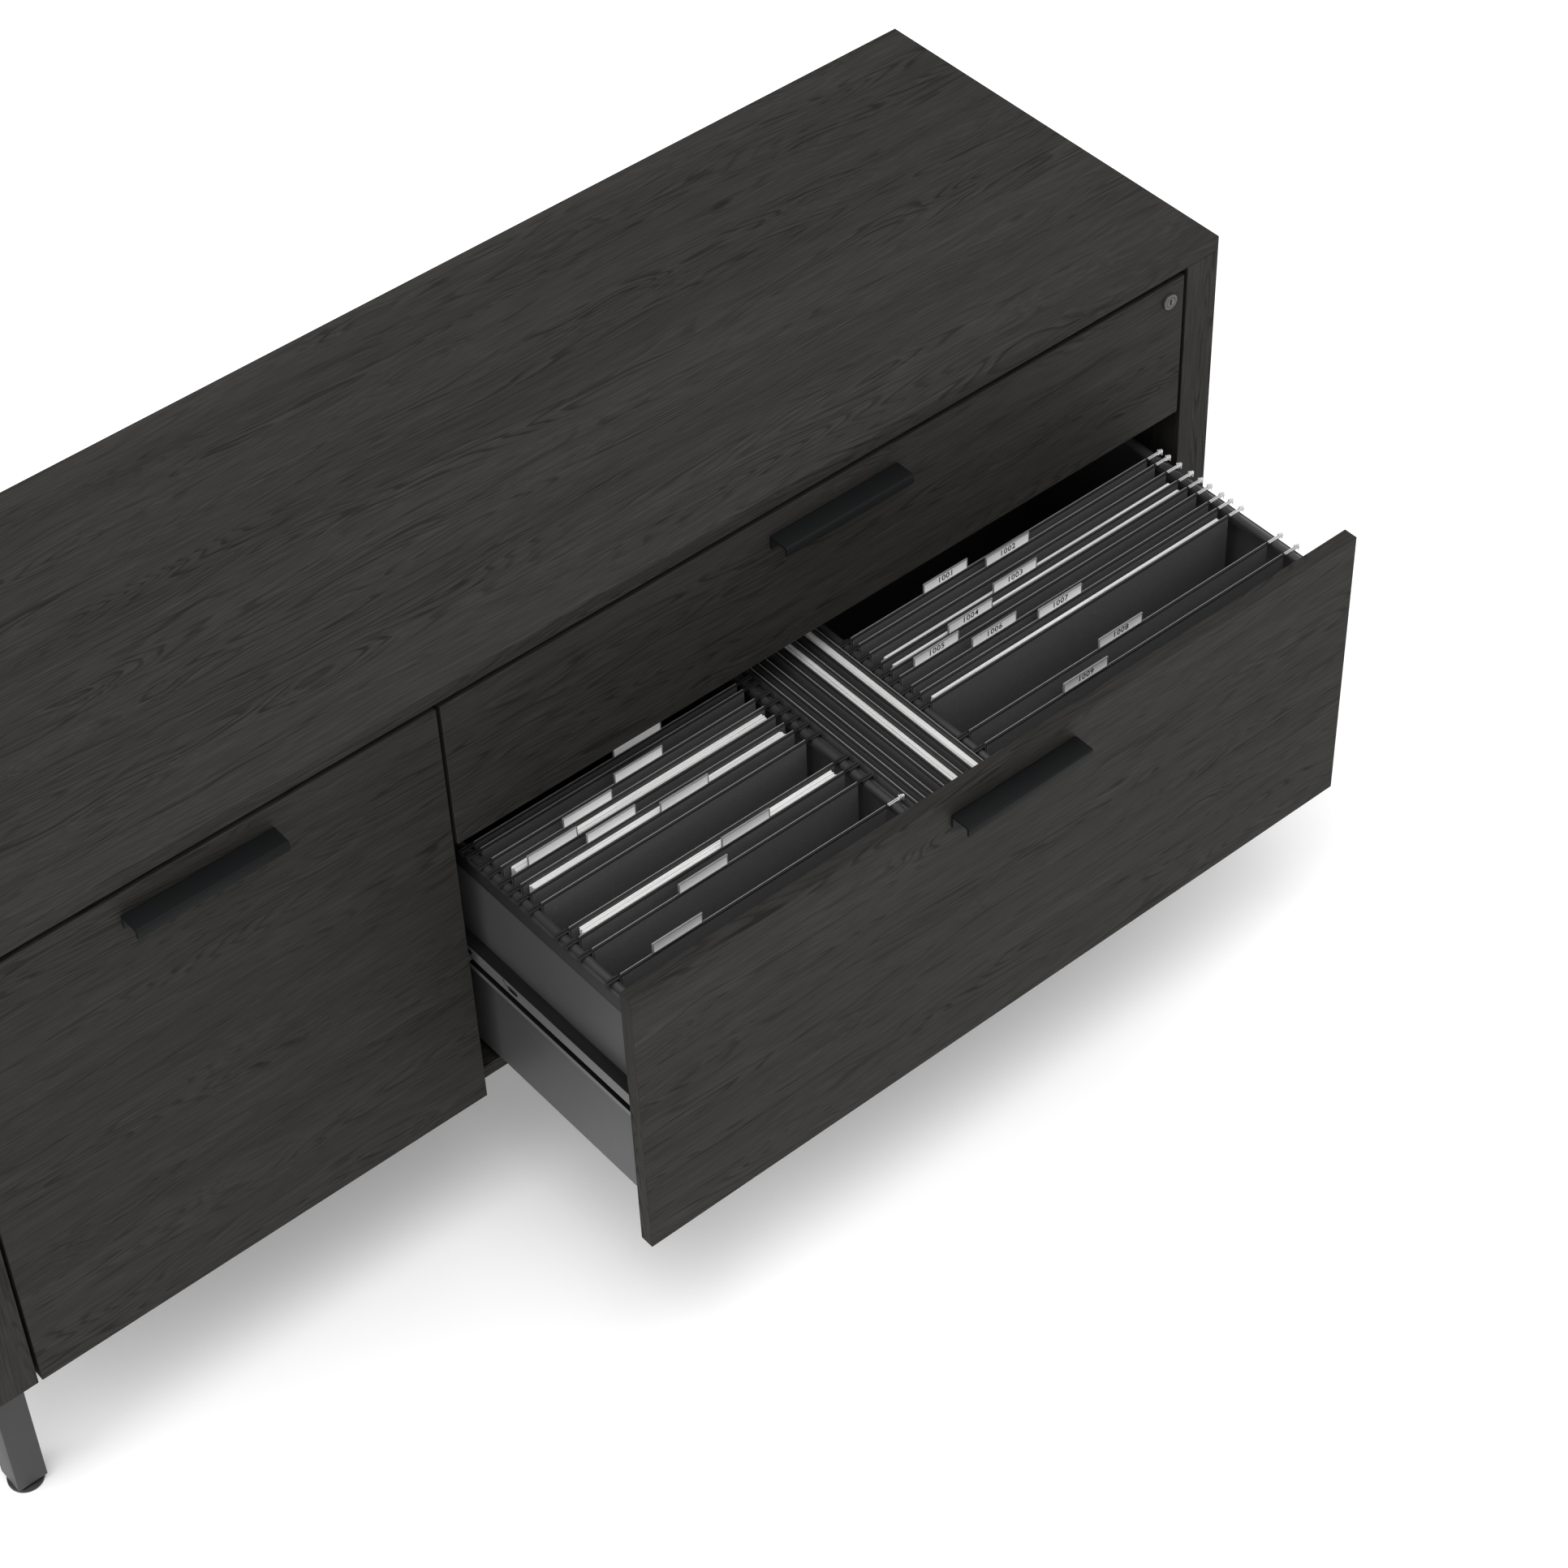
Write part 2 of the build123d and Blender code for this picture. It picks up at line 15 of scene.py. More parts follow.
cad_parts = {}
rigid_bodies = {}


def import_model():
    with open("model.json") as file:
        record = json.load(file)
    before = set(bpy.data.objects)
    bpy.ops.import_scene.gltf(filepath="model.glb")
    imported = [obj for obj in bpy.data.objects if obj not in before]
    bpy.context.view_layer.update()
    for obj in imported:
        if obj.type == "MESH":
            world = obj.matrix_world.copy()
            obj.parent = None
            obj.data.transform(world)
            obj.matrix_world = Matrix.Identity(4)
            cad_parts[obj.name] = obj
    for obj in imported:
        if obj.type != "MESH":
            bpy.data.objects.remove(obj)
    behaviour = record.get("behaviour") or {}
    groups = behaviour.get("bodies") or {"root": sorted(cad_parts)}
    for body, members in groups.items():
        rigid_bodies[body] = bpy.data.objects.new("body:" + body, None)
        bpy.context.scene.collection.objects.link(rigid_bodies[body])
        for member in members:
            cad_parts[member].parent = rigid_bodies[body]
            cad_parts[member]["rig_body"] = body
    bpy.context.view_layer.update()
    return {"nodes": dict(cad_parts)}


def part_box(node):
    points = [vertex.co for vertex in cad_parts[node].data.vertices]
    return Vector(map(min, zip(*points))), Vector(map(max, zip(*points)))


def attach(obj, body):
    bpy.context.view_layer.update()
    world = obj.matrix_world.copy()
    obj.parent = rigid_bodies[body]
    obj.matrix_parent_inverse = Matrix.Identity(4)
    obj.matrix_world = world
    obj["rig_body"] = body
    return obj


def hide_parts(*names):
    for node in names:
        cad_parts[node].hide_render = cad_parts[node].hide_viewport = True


bl_info = {
    "name": "Filing Credenza",
    "version": (1, 0, 0),
    "blender": (4, 5, 0),
    "location": "View3D > Sidebar > Credenza",
    "description": "Finishes a packed filing credenza and models its hardware and files",
    "category": "Object",
}

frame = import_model()

MM = 0.001
BULB_HEIGHT = 8 * MM  # round top of a file rail
ROD_HEIGHT = 2.5 * MM  # of the plain rods in the frame, which lie on the rails
BOARDS_ALONG = ("upper_front", "file_front", "deep_front")
BLACK_BOARDS = ("partition_panel", "back_panel", "slide_spacers")
DRAWERS = ("upper", "file", "deep")
SIDES = ("left", "right")
STREAK = 0.5  # width in millimetres of a streak in drawn metal


# ------------------------------------------------------------------ colours and nodes
def linear(code):
    """An sRGB hex code as linear red, green, blue and alpha."""
    levels = [int(code[i:i + 2], 16) / 255 for i in (1, 3, 5)]
    return tuple(v / 12.92 if v <= 0.04045 else ((v + 0.055) / 1.055) ** 2.4 for v in levels) + (1.0,)


def shade(colour, factor):
    """A colour made lighter or darker by a factor."""
    return tuple(min(1.0, v * factor) for v in colour[:3]) + (1.0,)


def per_mm(along, across, deep=None):
    """Mapping scale that turns metres into pattern steps of these sizes in millimetres."""
    return (1000 / along, 1000 / across, 1000 / (deep or across))


def add_node(tree, kind, links=None, stops=None, **settings):
    """Add a node. links gives each input a value or another node's output, by its name or number."""
    node = tree.nodes.new(kind)
    for setting, value in settings.items():
        setattr(node, setting, value)
    for socket, source in (links or {}).items():
        if isinstance(source, bpy.types.NodeSocket):
            tree.links.new(source, node.inputs[socket])
        else:
            node.inputs[socket].default_value = source
    if stops:
        while len(node.color_ramp.elements) < len(stops):
            node.color_ramp.elements.new(0.5)
        for element, (position, colour) in zip(node.color_ramp.elements, stops):
            element.position = position
            element.color = colour
    return node


def new_material(name, **values):
    """A material with a Principled shader, whose sockets take these values."""
    material = bpy.data.materials.new(name)
    material.use_nodes = True
    tree = material.node_tree
    tree.nodes.clear()
    sockets = {key.replace("_", " "): value for key, value in values.items()}
    shader = add_node(tree, "ShaderNodeBsdfPrincipled", sockets)
    add_node(tree, "ShaderNodeOutputMaterial", {"Surface": shader.outputs[0]})
    return material, tree, shader


def texture(tree, coords, scale, detail, **more):
    """The outputs of a noise whose coordinates are stretched by a mapping scale."""
    place = add_node(tree, "ShaderNodeMapping", {"Vector": coords, "Scale": scale})
    values = {"Vector": place.outputs[0], "Scale": 1, "Detail": detail, **more}
    return add_node(tree, "ShaderNodeTexNoise", values).outputs


def reckon(tree, operation, *values, kind="ShaderNodeMath"):
    """The result of a calculation on numbers and outputs."""
    return add_node(tree, kind, dict(enumerate(values)), operation=operation).outputs[0]


def weigh(tree, sources, total=0.0):
    """The sum of outputs, each times its weight, on top of a first total."""
    for source, weight in sources:
        total = reckon(tree, "MULTIPLY_ADD", source, weight, total)
    return total


def remap(tree, source, low, high, new_low, new_high, **settings):
    """An output's range from low to high carried over to another range."""
    values = {0: source, 1: low, 2: high, 3: new_low, 4: new_high}
    return add_node(tree, "ShaderNodeMapRange", values, **settings).outputs[0]


def ramp(tree, source, *stops):
    """A colour read from stops, each a position and a colour."""
    return add_node(tree, "ShaderNodeValToRGB", {0: source}, stops=stops).outputs[0]


def finish_shader(tree, shader, colour, roughness, height, strength, depth):
    """Give the shader its colour and roughness, and a bump whose height is depth in millimetres."""
    bump = add_node(tree, "ShaderNodeBump", {"Height": height, "Strength": strength, "Distance": depth * MM})
    for socket, source in (("Base Color", colour), ("Roughness", roughness), ("Normal", bump.outputs[0])):
        tree.links.new(source, shader.inputs[socket])


# ------------------------------------------------------------------ materials
def stained_ash_veneer(name, colour, order, end_order, end_axis):
    """Sliced ash veneer, stained charcoal and sealed matt.

    The eye gets thin growth lines that bunch together and open into long arches, open
    pores as short dark dashes, and a few small dark knots that the lines flow around.
    order names the axes along and across the grain; faces that look along end_axis are
    banded in end_order.
    """
    material, tree, shader = new_material(name, IOR=1.45, Specular_IOR_Level=0.12)
    coords = add_node(tree, "ShaderNodeTexCoord").outputs
    place = add_node(tree, "ShaderNodeSeparateXYZ", {0: coords["Object"]}).outputs
    facing = add_node(tree, "ShaderNodeSeparateXYZ", {0: coords["Normal"]}).outputs
    is_end = reckon(tree, "GREATER_THAN", reckon(tree, "ABSOLUTE", facing[end_axis]), 0.75)
    main, end = (
        add_node(tree, "ShaderNodeCombineXYZ", {i: place[axis] for i, axis in enumerate(axes)}).outputs[0]
        for axes in (order, end_order)
    )
    grain = add_node(tree, "ShaderNodeMix", {0: is_end, 4: main, 5: end}, data_type="VECTOR").outputs[1]

    # the tree wandered as it grew: lines drift a few millimetres over half a metre
    vectors = {"kind": "ShaderNodeVectorMath"}
    drift_reach = 26 * MM
    drift = texture(tree, grain, per_mm(420, 110), 3)["Color"]
    centred = reckon(tree, "SUBTRACT", drift, (0.5, 0.5, 0.5), **vectors)
    bent = reckon(tree, "MULTIPLY_ADD", centred, (0, drift_reach, drift_reach), grain, **vectors)

    # knots: at most one in each cell of these millimetres, and the lines part around it
    cell_along, cell_across = 210, 62
    knot_place = add_node(
        tree, "ShaderNodeMapping", {"Vector": bent, "Scale": per_mm(cell_along, cell_across)},
    ).outputs[0]
    knots = add_node(tree, "ShaderNodeTexVoronoi", {"Vector": knot_place, "Scale": 1}).outputs
    from_knot = reckon(tree, "SUBTRACT", knot_place, knots["Position"], **vectors)
    pull = remap(tree, knots["Distance"], 0.0, 0.45, 0.9, 0.0, interpolation_type="SMOOTHSTEP")
    parted = reckon(tree, "MULTIPLY", from_knot, (0, -cell_across * MM, -cell_across * MM), **vectors)
    push = add_node(tree, "ShaderNodeVectorMath", {0: parted, "Scale": pull}, operation="SCALE").outputs[0]
    flow = reckon(tree, "ADD", bent, push, **vectors)
    knot_core = remap(tree, knots["Distance"], 0.015, 0.075, 1.0, 0.0)
    chosen = add_node(tree, "ShaderNodeSeparateColor", {0: knots["Color"]}).outputs[0]
    knot = reckon(tree, "MULTIPLY", knot_core, reckon(tree, "GREATER_THAN", chosen, 0.5))

    # hills whose contours are the growth lines, pores 1.3 mm wide, bands 45 mm wide and
    # single fibres, which are drawn twice as coarse as real ones so that they show
    patterns = {
        key: texture(tree, flow, per_mm(along, across), detail, Roughness=0.6)[0]
        for key, along, across, detail in (
            ("hills", 900, 64, 2.4), ("pores", 34, 1.3, 1), ("bands", 1400, 45, 2), ("fibres", 55, 1.5, 2),
            ("bunches", 500, 22, 2),
        )
    }
    # each growth ring darkens towards its late wood and ends sharply
    ring = reckon(tree, "FRACT", reckon(tree, "MULTIPLY", patterns["hills"], 44.0))
    late_wood = add_node(tree, "ShaderNodeFloatCurve", {1: ring})
    curve = late_wood.mapping.curves[0]
    for position, height in ((0.55, 0.1), (0.86, 1.0), (0.97, 0.25)):
        curve.points.new(position, height)
    curve.points[0].location = (0.0, 0.0)
    curve.points[-1].location = (1.0, 0.0)
    late_wood.mapping.update()
    bunched = remap(tree, patterns["bunches"], 0.42, 0.64, 0.12, 1.0)
    lines = reckon(tree, "MULTIPLY", late_wood.outputs[0], bunched)
    pores = reckon(tree, "MULTIPLY", remap(tree, patterns["pores"], 0.6, 0.7, 0.0, 1.0), bunched)
    tone = weigh(tree, (
        (patterns["bands"], 0.45), (patterns["fibres"], 0.8), (lines, -0.4), (pores, -0.35), (knot, -0.5),
    ))
    colours = ramp(
        tree, tone, (0.1, shade(colour, 0.4)), (0.45, shade(colour, 0.86)), (0.62, shade(colour, 1.1)),
        (0.9, shade(colour, 1.7)),
    )
    finish_shader(tree, shader, colours, remap(tree, tone, 0.1, 0.9, 0.7, 0.55), tone, 0.4, 0.2)
    return material


def coated(name, colour, grit, roughness, depth, unevenness=0.12, **values):
    """A coated or moulded surface: an even colour that clouds a little, over a fine grit.

    grit is the size of one bump in millimetres, depth its height.
    """
    material, tree, shader = new_material(name, **values)
    coords = add_node(tree, "ShaderNodeTexCoord").outputs["Object"]
    cloud = texture(tree, coords, per_mm(90, 90), 3)[0]
    grains = texture(tree, coords, per_mm(grit, grit), 2)[0]
    mixed = weigh(tree, ((cloud, 0.65), (grains, 0.35)), 0.175)
    colours = ramp(tree, mixed, (0.35, shade(colour, 1 - unevenness)), (0.95, shade(colour, 1 + unevenness)))
    gloss = remap(tree, mixed, 0.3, 0.95, roughness - 0.06, roughness + 0.06)
    finish_shader(tree, shader, colours, gloss, grains, 0.6, depth)
    return material


def drawn_metal(name, colour, along, roughness, metallic):
    """Plated steel with the fine lengthwise streaks that its rolls leave.

    along is the number of the axis that the streaks follow.
    """
    material, tree, shader = new_material(name, Metallic=metallic)
    coords = add_node(tree, "ShaderNodeTexCoord").outputs["Object"]
    scale = list(per_mm(STREAK, STREAK))
    scale[along] /= 90
    streaks = texture(tree, coords, scale, 2)[0]
    stains = texture(tree, coords, per_mm(60, 60), 3)[0]
    mixed = weigh(tree, ((streaks, 0.55), (stains, 0.45)))
    colours = ramp(tree, mixed, (0.3, shade(colour, 0.8)), (0.7, shade(colour, 1.15)))
    gloss = remap(tree, mixed, 0.3, 0.7, roughness - 0.08, roughness + 0.1)
    finish_shader(tree, shader, colours, gloss, streaks, 0.4, 0.03)
    return material


def slide_finish(name, plate, flat_face_shade):
    """Zinc plate drawn lengthwise, with painted shade: the plate's grey on upright faces, near black on
    faces that look up or down.
    """
    material, tree, shader = new_material(name, Metallic=0.3)
    coords = add_node(tree, "ShaderNodeTexCoord").outputs
    streaks = texture(tree, coords["Object"], per_mm(STREAK, STREAK * 120, STREAK), 2)[0]
    zinc = ramp(tree, streaks, (0.3, shade(plate, 0.88)), (0.7, shade(plate, 1.1)))
    # near-black painted shade for the faces that look up or down
    painted_shade = ramp(tree, streaks, (0.35, shade(flat_face_shade, 0.6)), (0.65, shade(flat_face_shade, 1.5)))
    upward = add_node(tree, "ShaderNodeSeparateXYZ", {0: coords["Normal"]}).outputs[2]
    flat = reckon(tree, "ABSOLUTE", upward)
    mixed = add_node(tree, "ShaderNodeMix", {0: flat, 6: zinc, 7: painted_shade}, data_type="RGBA").outputs[2]
    finish_shader(tree, shader, mixed, remap(tree, streaks, 0.3, 0.7, 0.36, 0.5), streaks, 0.4, 0.03)
    return material


def rail_finish(name, highlit, painted, bulb_z):
    """A steel rail: its round top is coloured a lighter satin grey as a painted highlight, its skirt stays
    matt black.
    """
    material, tree, shader = new_material(name, IOR=1.5)
    coords = add_node(tree, "ShaderNodeTexCoord").outputs["Object"]
    height = add_node(tree, "ShaderNodeSeparateXYZ", {0: coords}).outputs[2]
    fade = 0.4 * MM
    # above bulb_z the round top takes the lighter colour, a painted highlight
    on_bulb = remap(tree, height, bulb_z - fade, bulb_z + fade, 0.0, 1.0)
    rail_streaks = texture(tree, coords, per_mm(1.2, 45, 1.2), 3)[0]
    highlight_tone = ramp(tree, rail_streaks, (0.35, shade(highlit, 0.8)), (0.7, shade(highlit, 1.2)))
    coat = ramp(tree, rail_streaks, (0.35, shade(painted, 0.9)), (0.7, shade(painted, 1.1)))
    mixed = add_node(tree, "ShaderNodeMix", {0: on_bulb, 6: coat, 7: highlight_tone}, data_type="RGBA").outputs[2]
    finish_shader(tree, shader, mixed, remap(tree, on_bulb, 0.0, 1.0, 0.6, 0.33), rail_streaks, 0.4, 0.03)
    return material


def pressed_card(name, colour):
    """Calendered pressboard: dull, dyed right through, with short paler fibres lying all ways."""
    material, tree, shader = new_material(name, IOR=1.4, Specular_IOR_Level=0.3)
    coords = add_node(tree, "ShaderNodeTexCoord").outputs["Object"]
    fibres = texture(tree, coords, per_mm(3.5, 1.2), 3, Distortion=1.5)[0]
    colours = ramp(tree, fibres, (0.3, shade(colour, 0.86)), (0.58, colour), (0.72, shade(colour, 1.35)))
    finish_shader(tree, shader, colours, remap(tree, fibres, 0.3, 0.7, 0.7, 0.85), fibres, 0.5, 0.05)
    return material


def stacked_paper(name, colour, across):
    """Office paper in a pile: its cut edges show as hair lines, every few sheets a greyer one.

    across is the number of the axis that the sheets are stacked along. Real sheets are
    0.1 mm thick, so the lines are drawn 0.8 mm apart.
    """
    material, tree, shader = new_material(name, IOR=1.45, Specular_IOR_Level=0.2)
    coords = add_node(tree, "ShaderNodeTexCoord").outputs["Object"]
    scale = list(per_mm(120, 120))
    scale[across] = 1000 / 0.8
    sheets = texture(tree, coords, scale, 2)[0]
    colours = ramp(tree, sheets, (0.32, shade(colour, 0.68)), (0.45, shade(colour, 0.92)), (0.6, colour))
    finish_shader(tree, shader, colours, remap(tree, sheets, 0.3, 0.7, 0.85, 0.7), sheets, 0.6, 0.15)
    return material


def build_materials(colours):
    """Every finish of the credenza, by the name that the makers below use."""
    return {
        # grain along the fronts and the top, with bands on their edges that follow each edge
        "veneer_top": stained_ash_veneer("ash_veneer_top", colours.veneer, (0, 1, 2), (1, 0, 2), 0),
        "veneer_front": stained_ash_veneer("ash_veneer_front", colours.veneer, (0, 1, 2), (2, 1, 0), 0),
        # grain standing up on the side panels
        "veneer_side": stained_ash_veneer("ash_veneer_side", colours.veneer, (2, 0, 1), (1, 0, 2), 2),
        # melamine-faced chipboard: a dead even black with a faint pressed texture
        "board": coated("black_melamine_board", colours.board, 1.6, 0.62, 0.06),
        # epoxy powder coat on tube: matt black, pebbled like fine leather
        "leg": coated("powder_coated_tube", colours.leg, 0.9, 0.5, 0.05),
        "pull": coated("powder_coated_pull", colours.pull, 0.8, 0.6, 0.04, Specular_IOR_Level=0.12),
        # stoved enamel on sheet steel: smooth satin grey with a slight orange peel
        "drawer_steel": coated("satin_enamel_steel", colours.drawer_steel, 2.6, 0.42, 0.03, 0.06),
        # zinc-plated cold-rolled steel: a grey shine drawn out along the slide, with painted shade on the
        # faces that look up or down
        "slide": slide_finish("zinc_plated_slide", colours.slide, colours.flat_face_shade),
        # steel rail, its round top painted lighter as a highlight
        "rail": rail_finish(
            "rubbed_steel_rail", colours.rail, colours.plastic,
            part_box("file_rail_left")[1].z - BULB_HEIGHT,
        ),
        # nickel-plated spring steel rod: bare metal, coloured near white where it crosses the rail as a
        # painted highlight
        "rod": drawn_metal("nickel_plated_rod", colours.rod, 0, 0.3, 0.25),
        "lock": drawn_metal("brushed_nickel_lock", colours.lock, 2, 0.3, 0.3),
        # moulded nylon clips and pads: dull black with a faint spark-eroded texture
        "plastic": coated("moulded_nylon", colours.plastic, 1.2, 0.55, 0.03),
        "card": pressed_card("dyed_pressboard", colours.card),
        # the same board, paler on the leaves' top and end faces as a painted highlight
        "card_edge": pressed_card("rubbed_pressboard_fold", colours.card_edge),
        "paper_y": stacked_paper("office_paper_across", colours.paper, 1),
        "paper_x": stacked_paper("office_paper_along", colours.paper, 0),
        # calendered vinyl holder, greyed by its thickness, around a white slip
        "tab": coated("grey_vinyl_tab", colours.tab, 2.0, 0.35, 0.02, 0.05),
        "label": coated("white_label_slip", colours.label, 0.9, 0.8, 0.02, 0.04),
        "ink": coated("black_label_ink", colours.ink, 0.9, 0.7, 0.01, 0.1),
    }


# ------------------------------------------------------------------ modelling helpers
def deselect():
    """Leave nothing selected, in object mode."""
    if bpy.context.mode != "OBJECT":
        bpy.ops.object.mode_set(mode="OBJECT")
    bpy.ops.object.select_all(action="DESELECT")


def activate(piece):
    """Select this piece alone and make it the active one."""
    deselect()
    piece.select_set(True)
    bpy.context.view_layer.objects.active = piece


def settle(piece):
    """Put the piece's place, turn and size into its mesh."""
    activate(piece)
    bpy.ops.object.transform_apply(location=True, rotation=True, scale=True)
    return piece


def block(name, low, high):
    """A box between two corners, as a start for shaping."""
    low, high = Vector(low), Vector(high)
    deselect()
    bpy.ops.mesh.primitive_cube_add(size=1, location=(low + high) / 2)
    piece = bpy.context.object
    piece.name = name
    piece.scale = high - low
    return settle(piece)


def disc(name, centre, radius, thick, axis="Z", sides=48):
    """A round bar from centre, thick long in the direction of +axis."""
    turn = {"X": (0, math.pi / 2, 0), "Y": (-math.pi / 2, 0, 0), "Z": (0, 0, 0)}[axis]
    step = Vector([thick / 2 if letter == axis else 0 for letter in "XYZ"])
    deselect()
    bpy.ops.mesh.primitive_cylinder_add(
        vertices=sides, radius=radius, depth=thick, location=Vector(centre) + step, rotation=turn,
    )
    piece = bpy.context.object
    piece.name = name
    return settle(piece)


def middle_of(part):
    """The middle of a face or an edge."""
    return sum((v.co for v in part.verts), Vector()) / len(part.verts)


def choose(piece, kind, test):
    """Open a piece in edit mode and select its faces or edges that pass a test."""
    if bpy.context.mode != "EDIT_MESH":
        activate(piece)
        bpy.ops.object.mode_set(mode="EDIT")
    bpy.ops.mesh.select_mode(type=kind)
    bpy.ops.mesh.select_all(action="DESELECT")
    shape = bmesh.from_edit_mesh(piece.data)
    found = [part for part in (shape.faces if kind == "FACE" else shape.edges) if test(part)]
    if not found:
        raise RuntimeError(f"{piece.name}: no {kind.lower()} passes the test")
    for part in found:
        part.select_set(True)
    bmesh.update_edit_mesh(piece.data)


def extrude(shift):
    """Draw the selected faces or edges out by shift."""
    bpy.ops.mesh.extrude_region_move(TRANSFORM_OT_translate={"value": tuple(shift)})


def bisect(piece, point, normal):
    """Cut new edges through the whole piece along a plane."""
    if bpy.context.mode != "EDIT_MESH":
        activate(piece)
        bpy.ops.object.mode_set(mode="EDIT")
    bpy.ops.mesh.select_all(action="SELECT")
    bpy.ops.mesh.bisect(plane_co=tuple(point), plane_no=tuple(normal))


def apply_modifier(piece, kind, **settings):
    """Add a modifier with these settings and apply it."""
    activate(piece)
    modifier = piece.modifiers.new(kind.lower(), kind)
    for setting, value in settings.items():
        setattr(modifier, setting, value)
    bpy.ops.object.modifier_apply(modifier=modifier.name)


def soften(piece, width, segments=2, angle=40):
    """Round the sharp edges and shade the rest smoothly."""
    apply_modifier(
        piece, "BEVEL", width=width, segments=segments, limit_method="ANGLE",
        angle_limit=math.radians(angle), use_clamp_overlap=True,
    )
    activate(piece)
    bpy.ops.object.shade_smooth_by_angle(angle=math.radians(35))
    return piece


def copy_of(piece, name, shift=(0, 0, 0)):
    """A copy with its own mesh, moved by shift."""
    twin = piece.copy()
    twin.data = piece.data.copy()
    twin.name = name
    twin.data.transform(Matrix.Translation(Vector(shift)))
    bpy.context.collection.objects.link(twin)
    return twin


def join(pieces, name):
    """Make one named piece of several."""
    activate(pieces[0])
    for piece in pieces:
        piece.select_set(True)
    bpy.ops.object.join()
    joined = bpy.context.object
    joined.name = name
    return joined


def paint(piece, *finish):
    """Give the piece these materials. Faces keep their numbers."""
    numbers = [face.material_index for face in piece.data.polygons]
    piece.data.materials.clear()
    for material in finish:
        piece.data.materials.append(material)
    piece.data.polygons.foreach_set("material_index", numbers)


def number_faces(piece, number, test):
    """Faces that pass a test of their middle and normal take the material of this number."""
    for face in piece.data.polygons:
        if test(face.center, face.normal):
            face.material_index = number


def hand_over(piece, node, slot, *materials, replaces=()):
    """Finish a piece: its materials and the body that carries this node. The slot argument is not used."""
    if materials:
        paint(piece, *materials)
    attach(piece, frame["nodes"][node]["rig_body"])
    if replaces:
        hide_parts(*replaces)
    return piece


def dress(nodes, material):
    """Give CAD nodes a finish."""
    for node in nodes:
        mesh = frame["nodes"][node].data
        mesh.materials.clear()
        mesh.materials.append(material)


def solids_of(node):
    """Lowest and highest corner of each separate solid of a node, from front to back."""
    shape = bmesh.new()
    shape.from_mesh(frame["nodes"][node].data)
    bmesh.ops.remove_doubles(shape, verts=shape.verts, dist=0.001 * MM)
    boxes, seen = [], set()
    for vert in shape.verts:
        if vert.index in seen:
            continue
        island, stack = [], [vert]
        seen.add(vert.index)
        while stack:
            point = stack.pop()
            island.append(point.co.copy())
            for edge in point.link_edges:
                other = edge.other_vert(point)
                if other.index not in seen:
                    seen.add(other.index)
                    stack.append(other)
        low = Vector([min(co[i] for co in island) for i in range(3)])
        high = Vector([max(co[i] for co in island) for i in range(3)])
        boxes.append((low, high))
    shape.free()
    return sorted(boxes, key=lambda box: (round(box[0].y, 4), round(box[0].x, 4)))


# ------------------------------------------------------------------ settings
def millimetres(name, description, default):
    """A length whose default is in millimetres."""
    return bpy.props.FloatProperty(
        name=name, description=description, default=default * MM, min=0, unit="LENGTH", precision=5,
    )


def finish_colour(name, description, code):
    """A colour whose default is an sRGB hex code."""
    return bpy.props.FloatVectorProperty(
        name=name, description=description, default=linear(code), size=4, min=0, max=1, subtype="COLOR",
    )


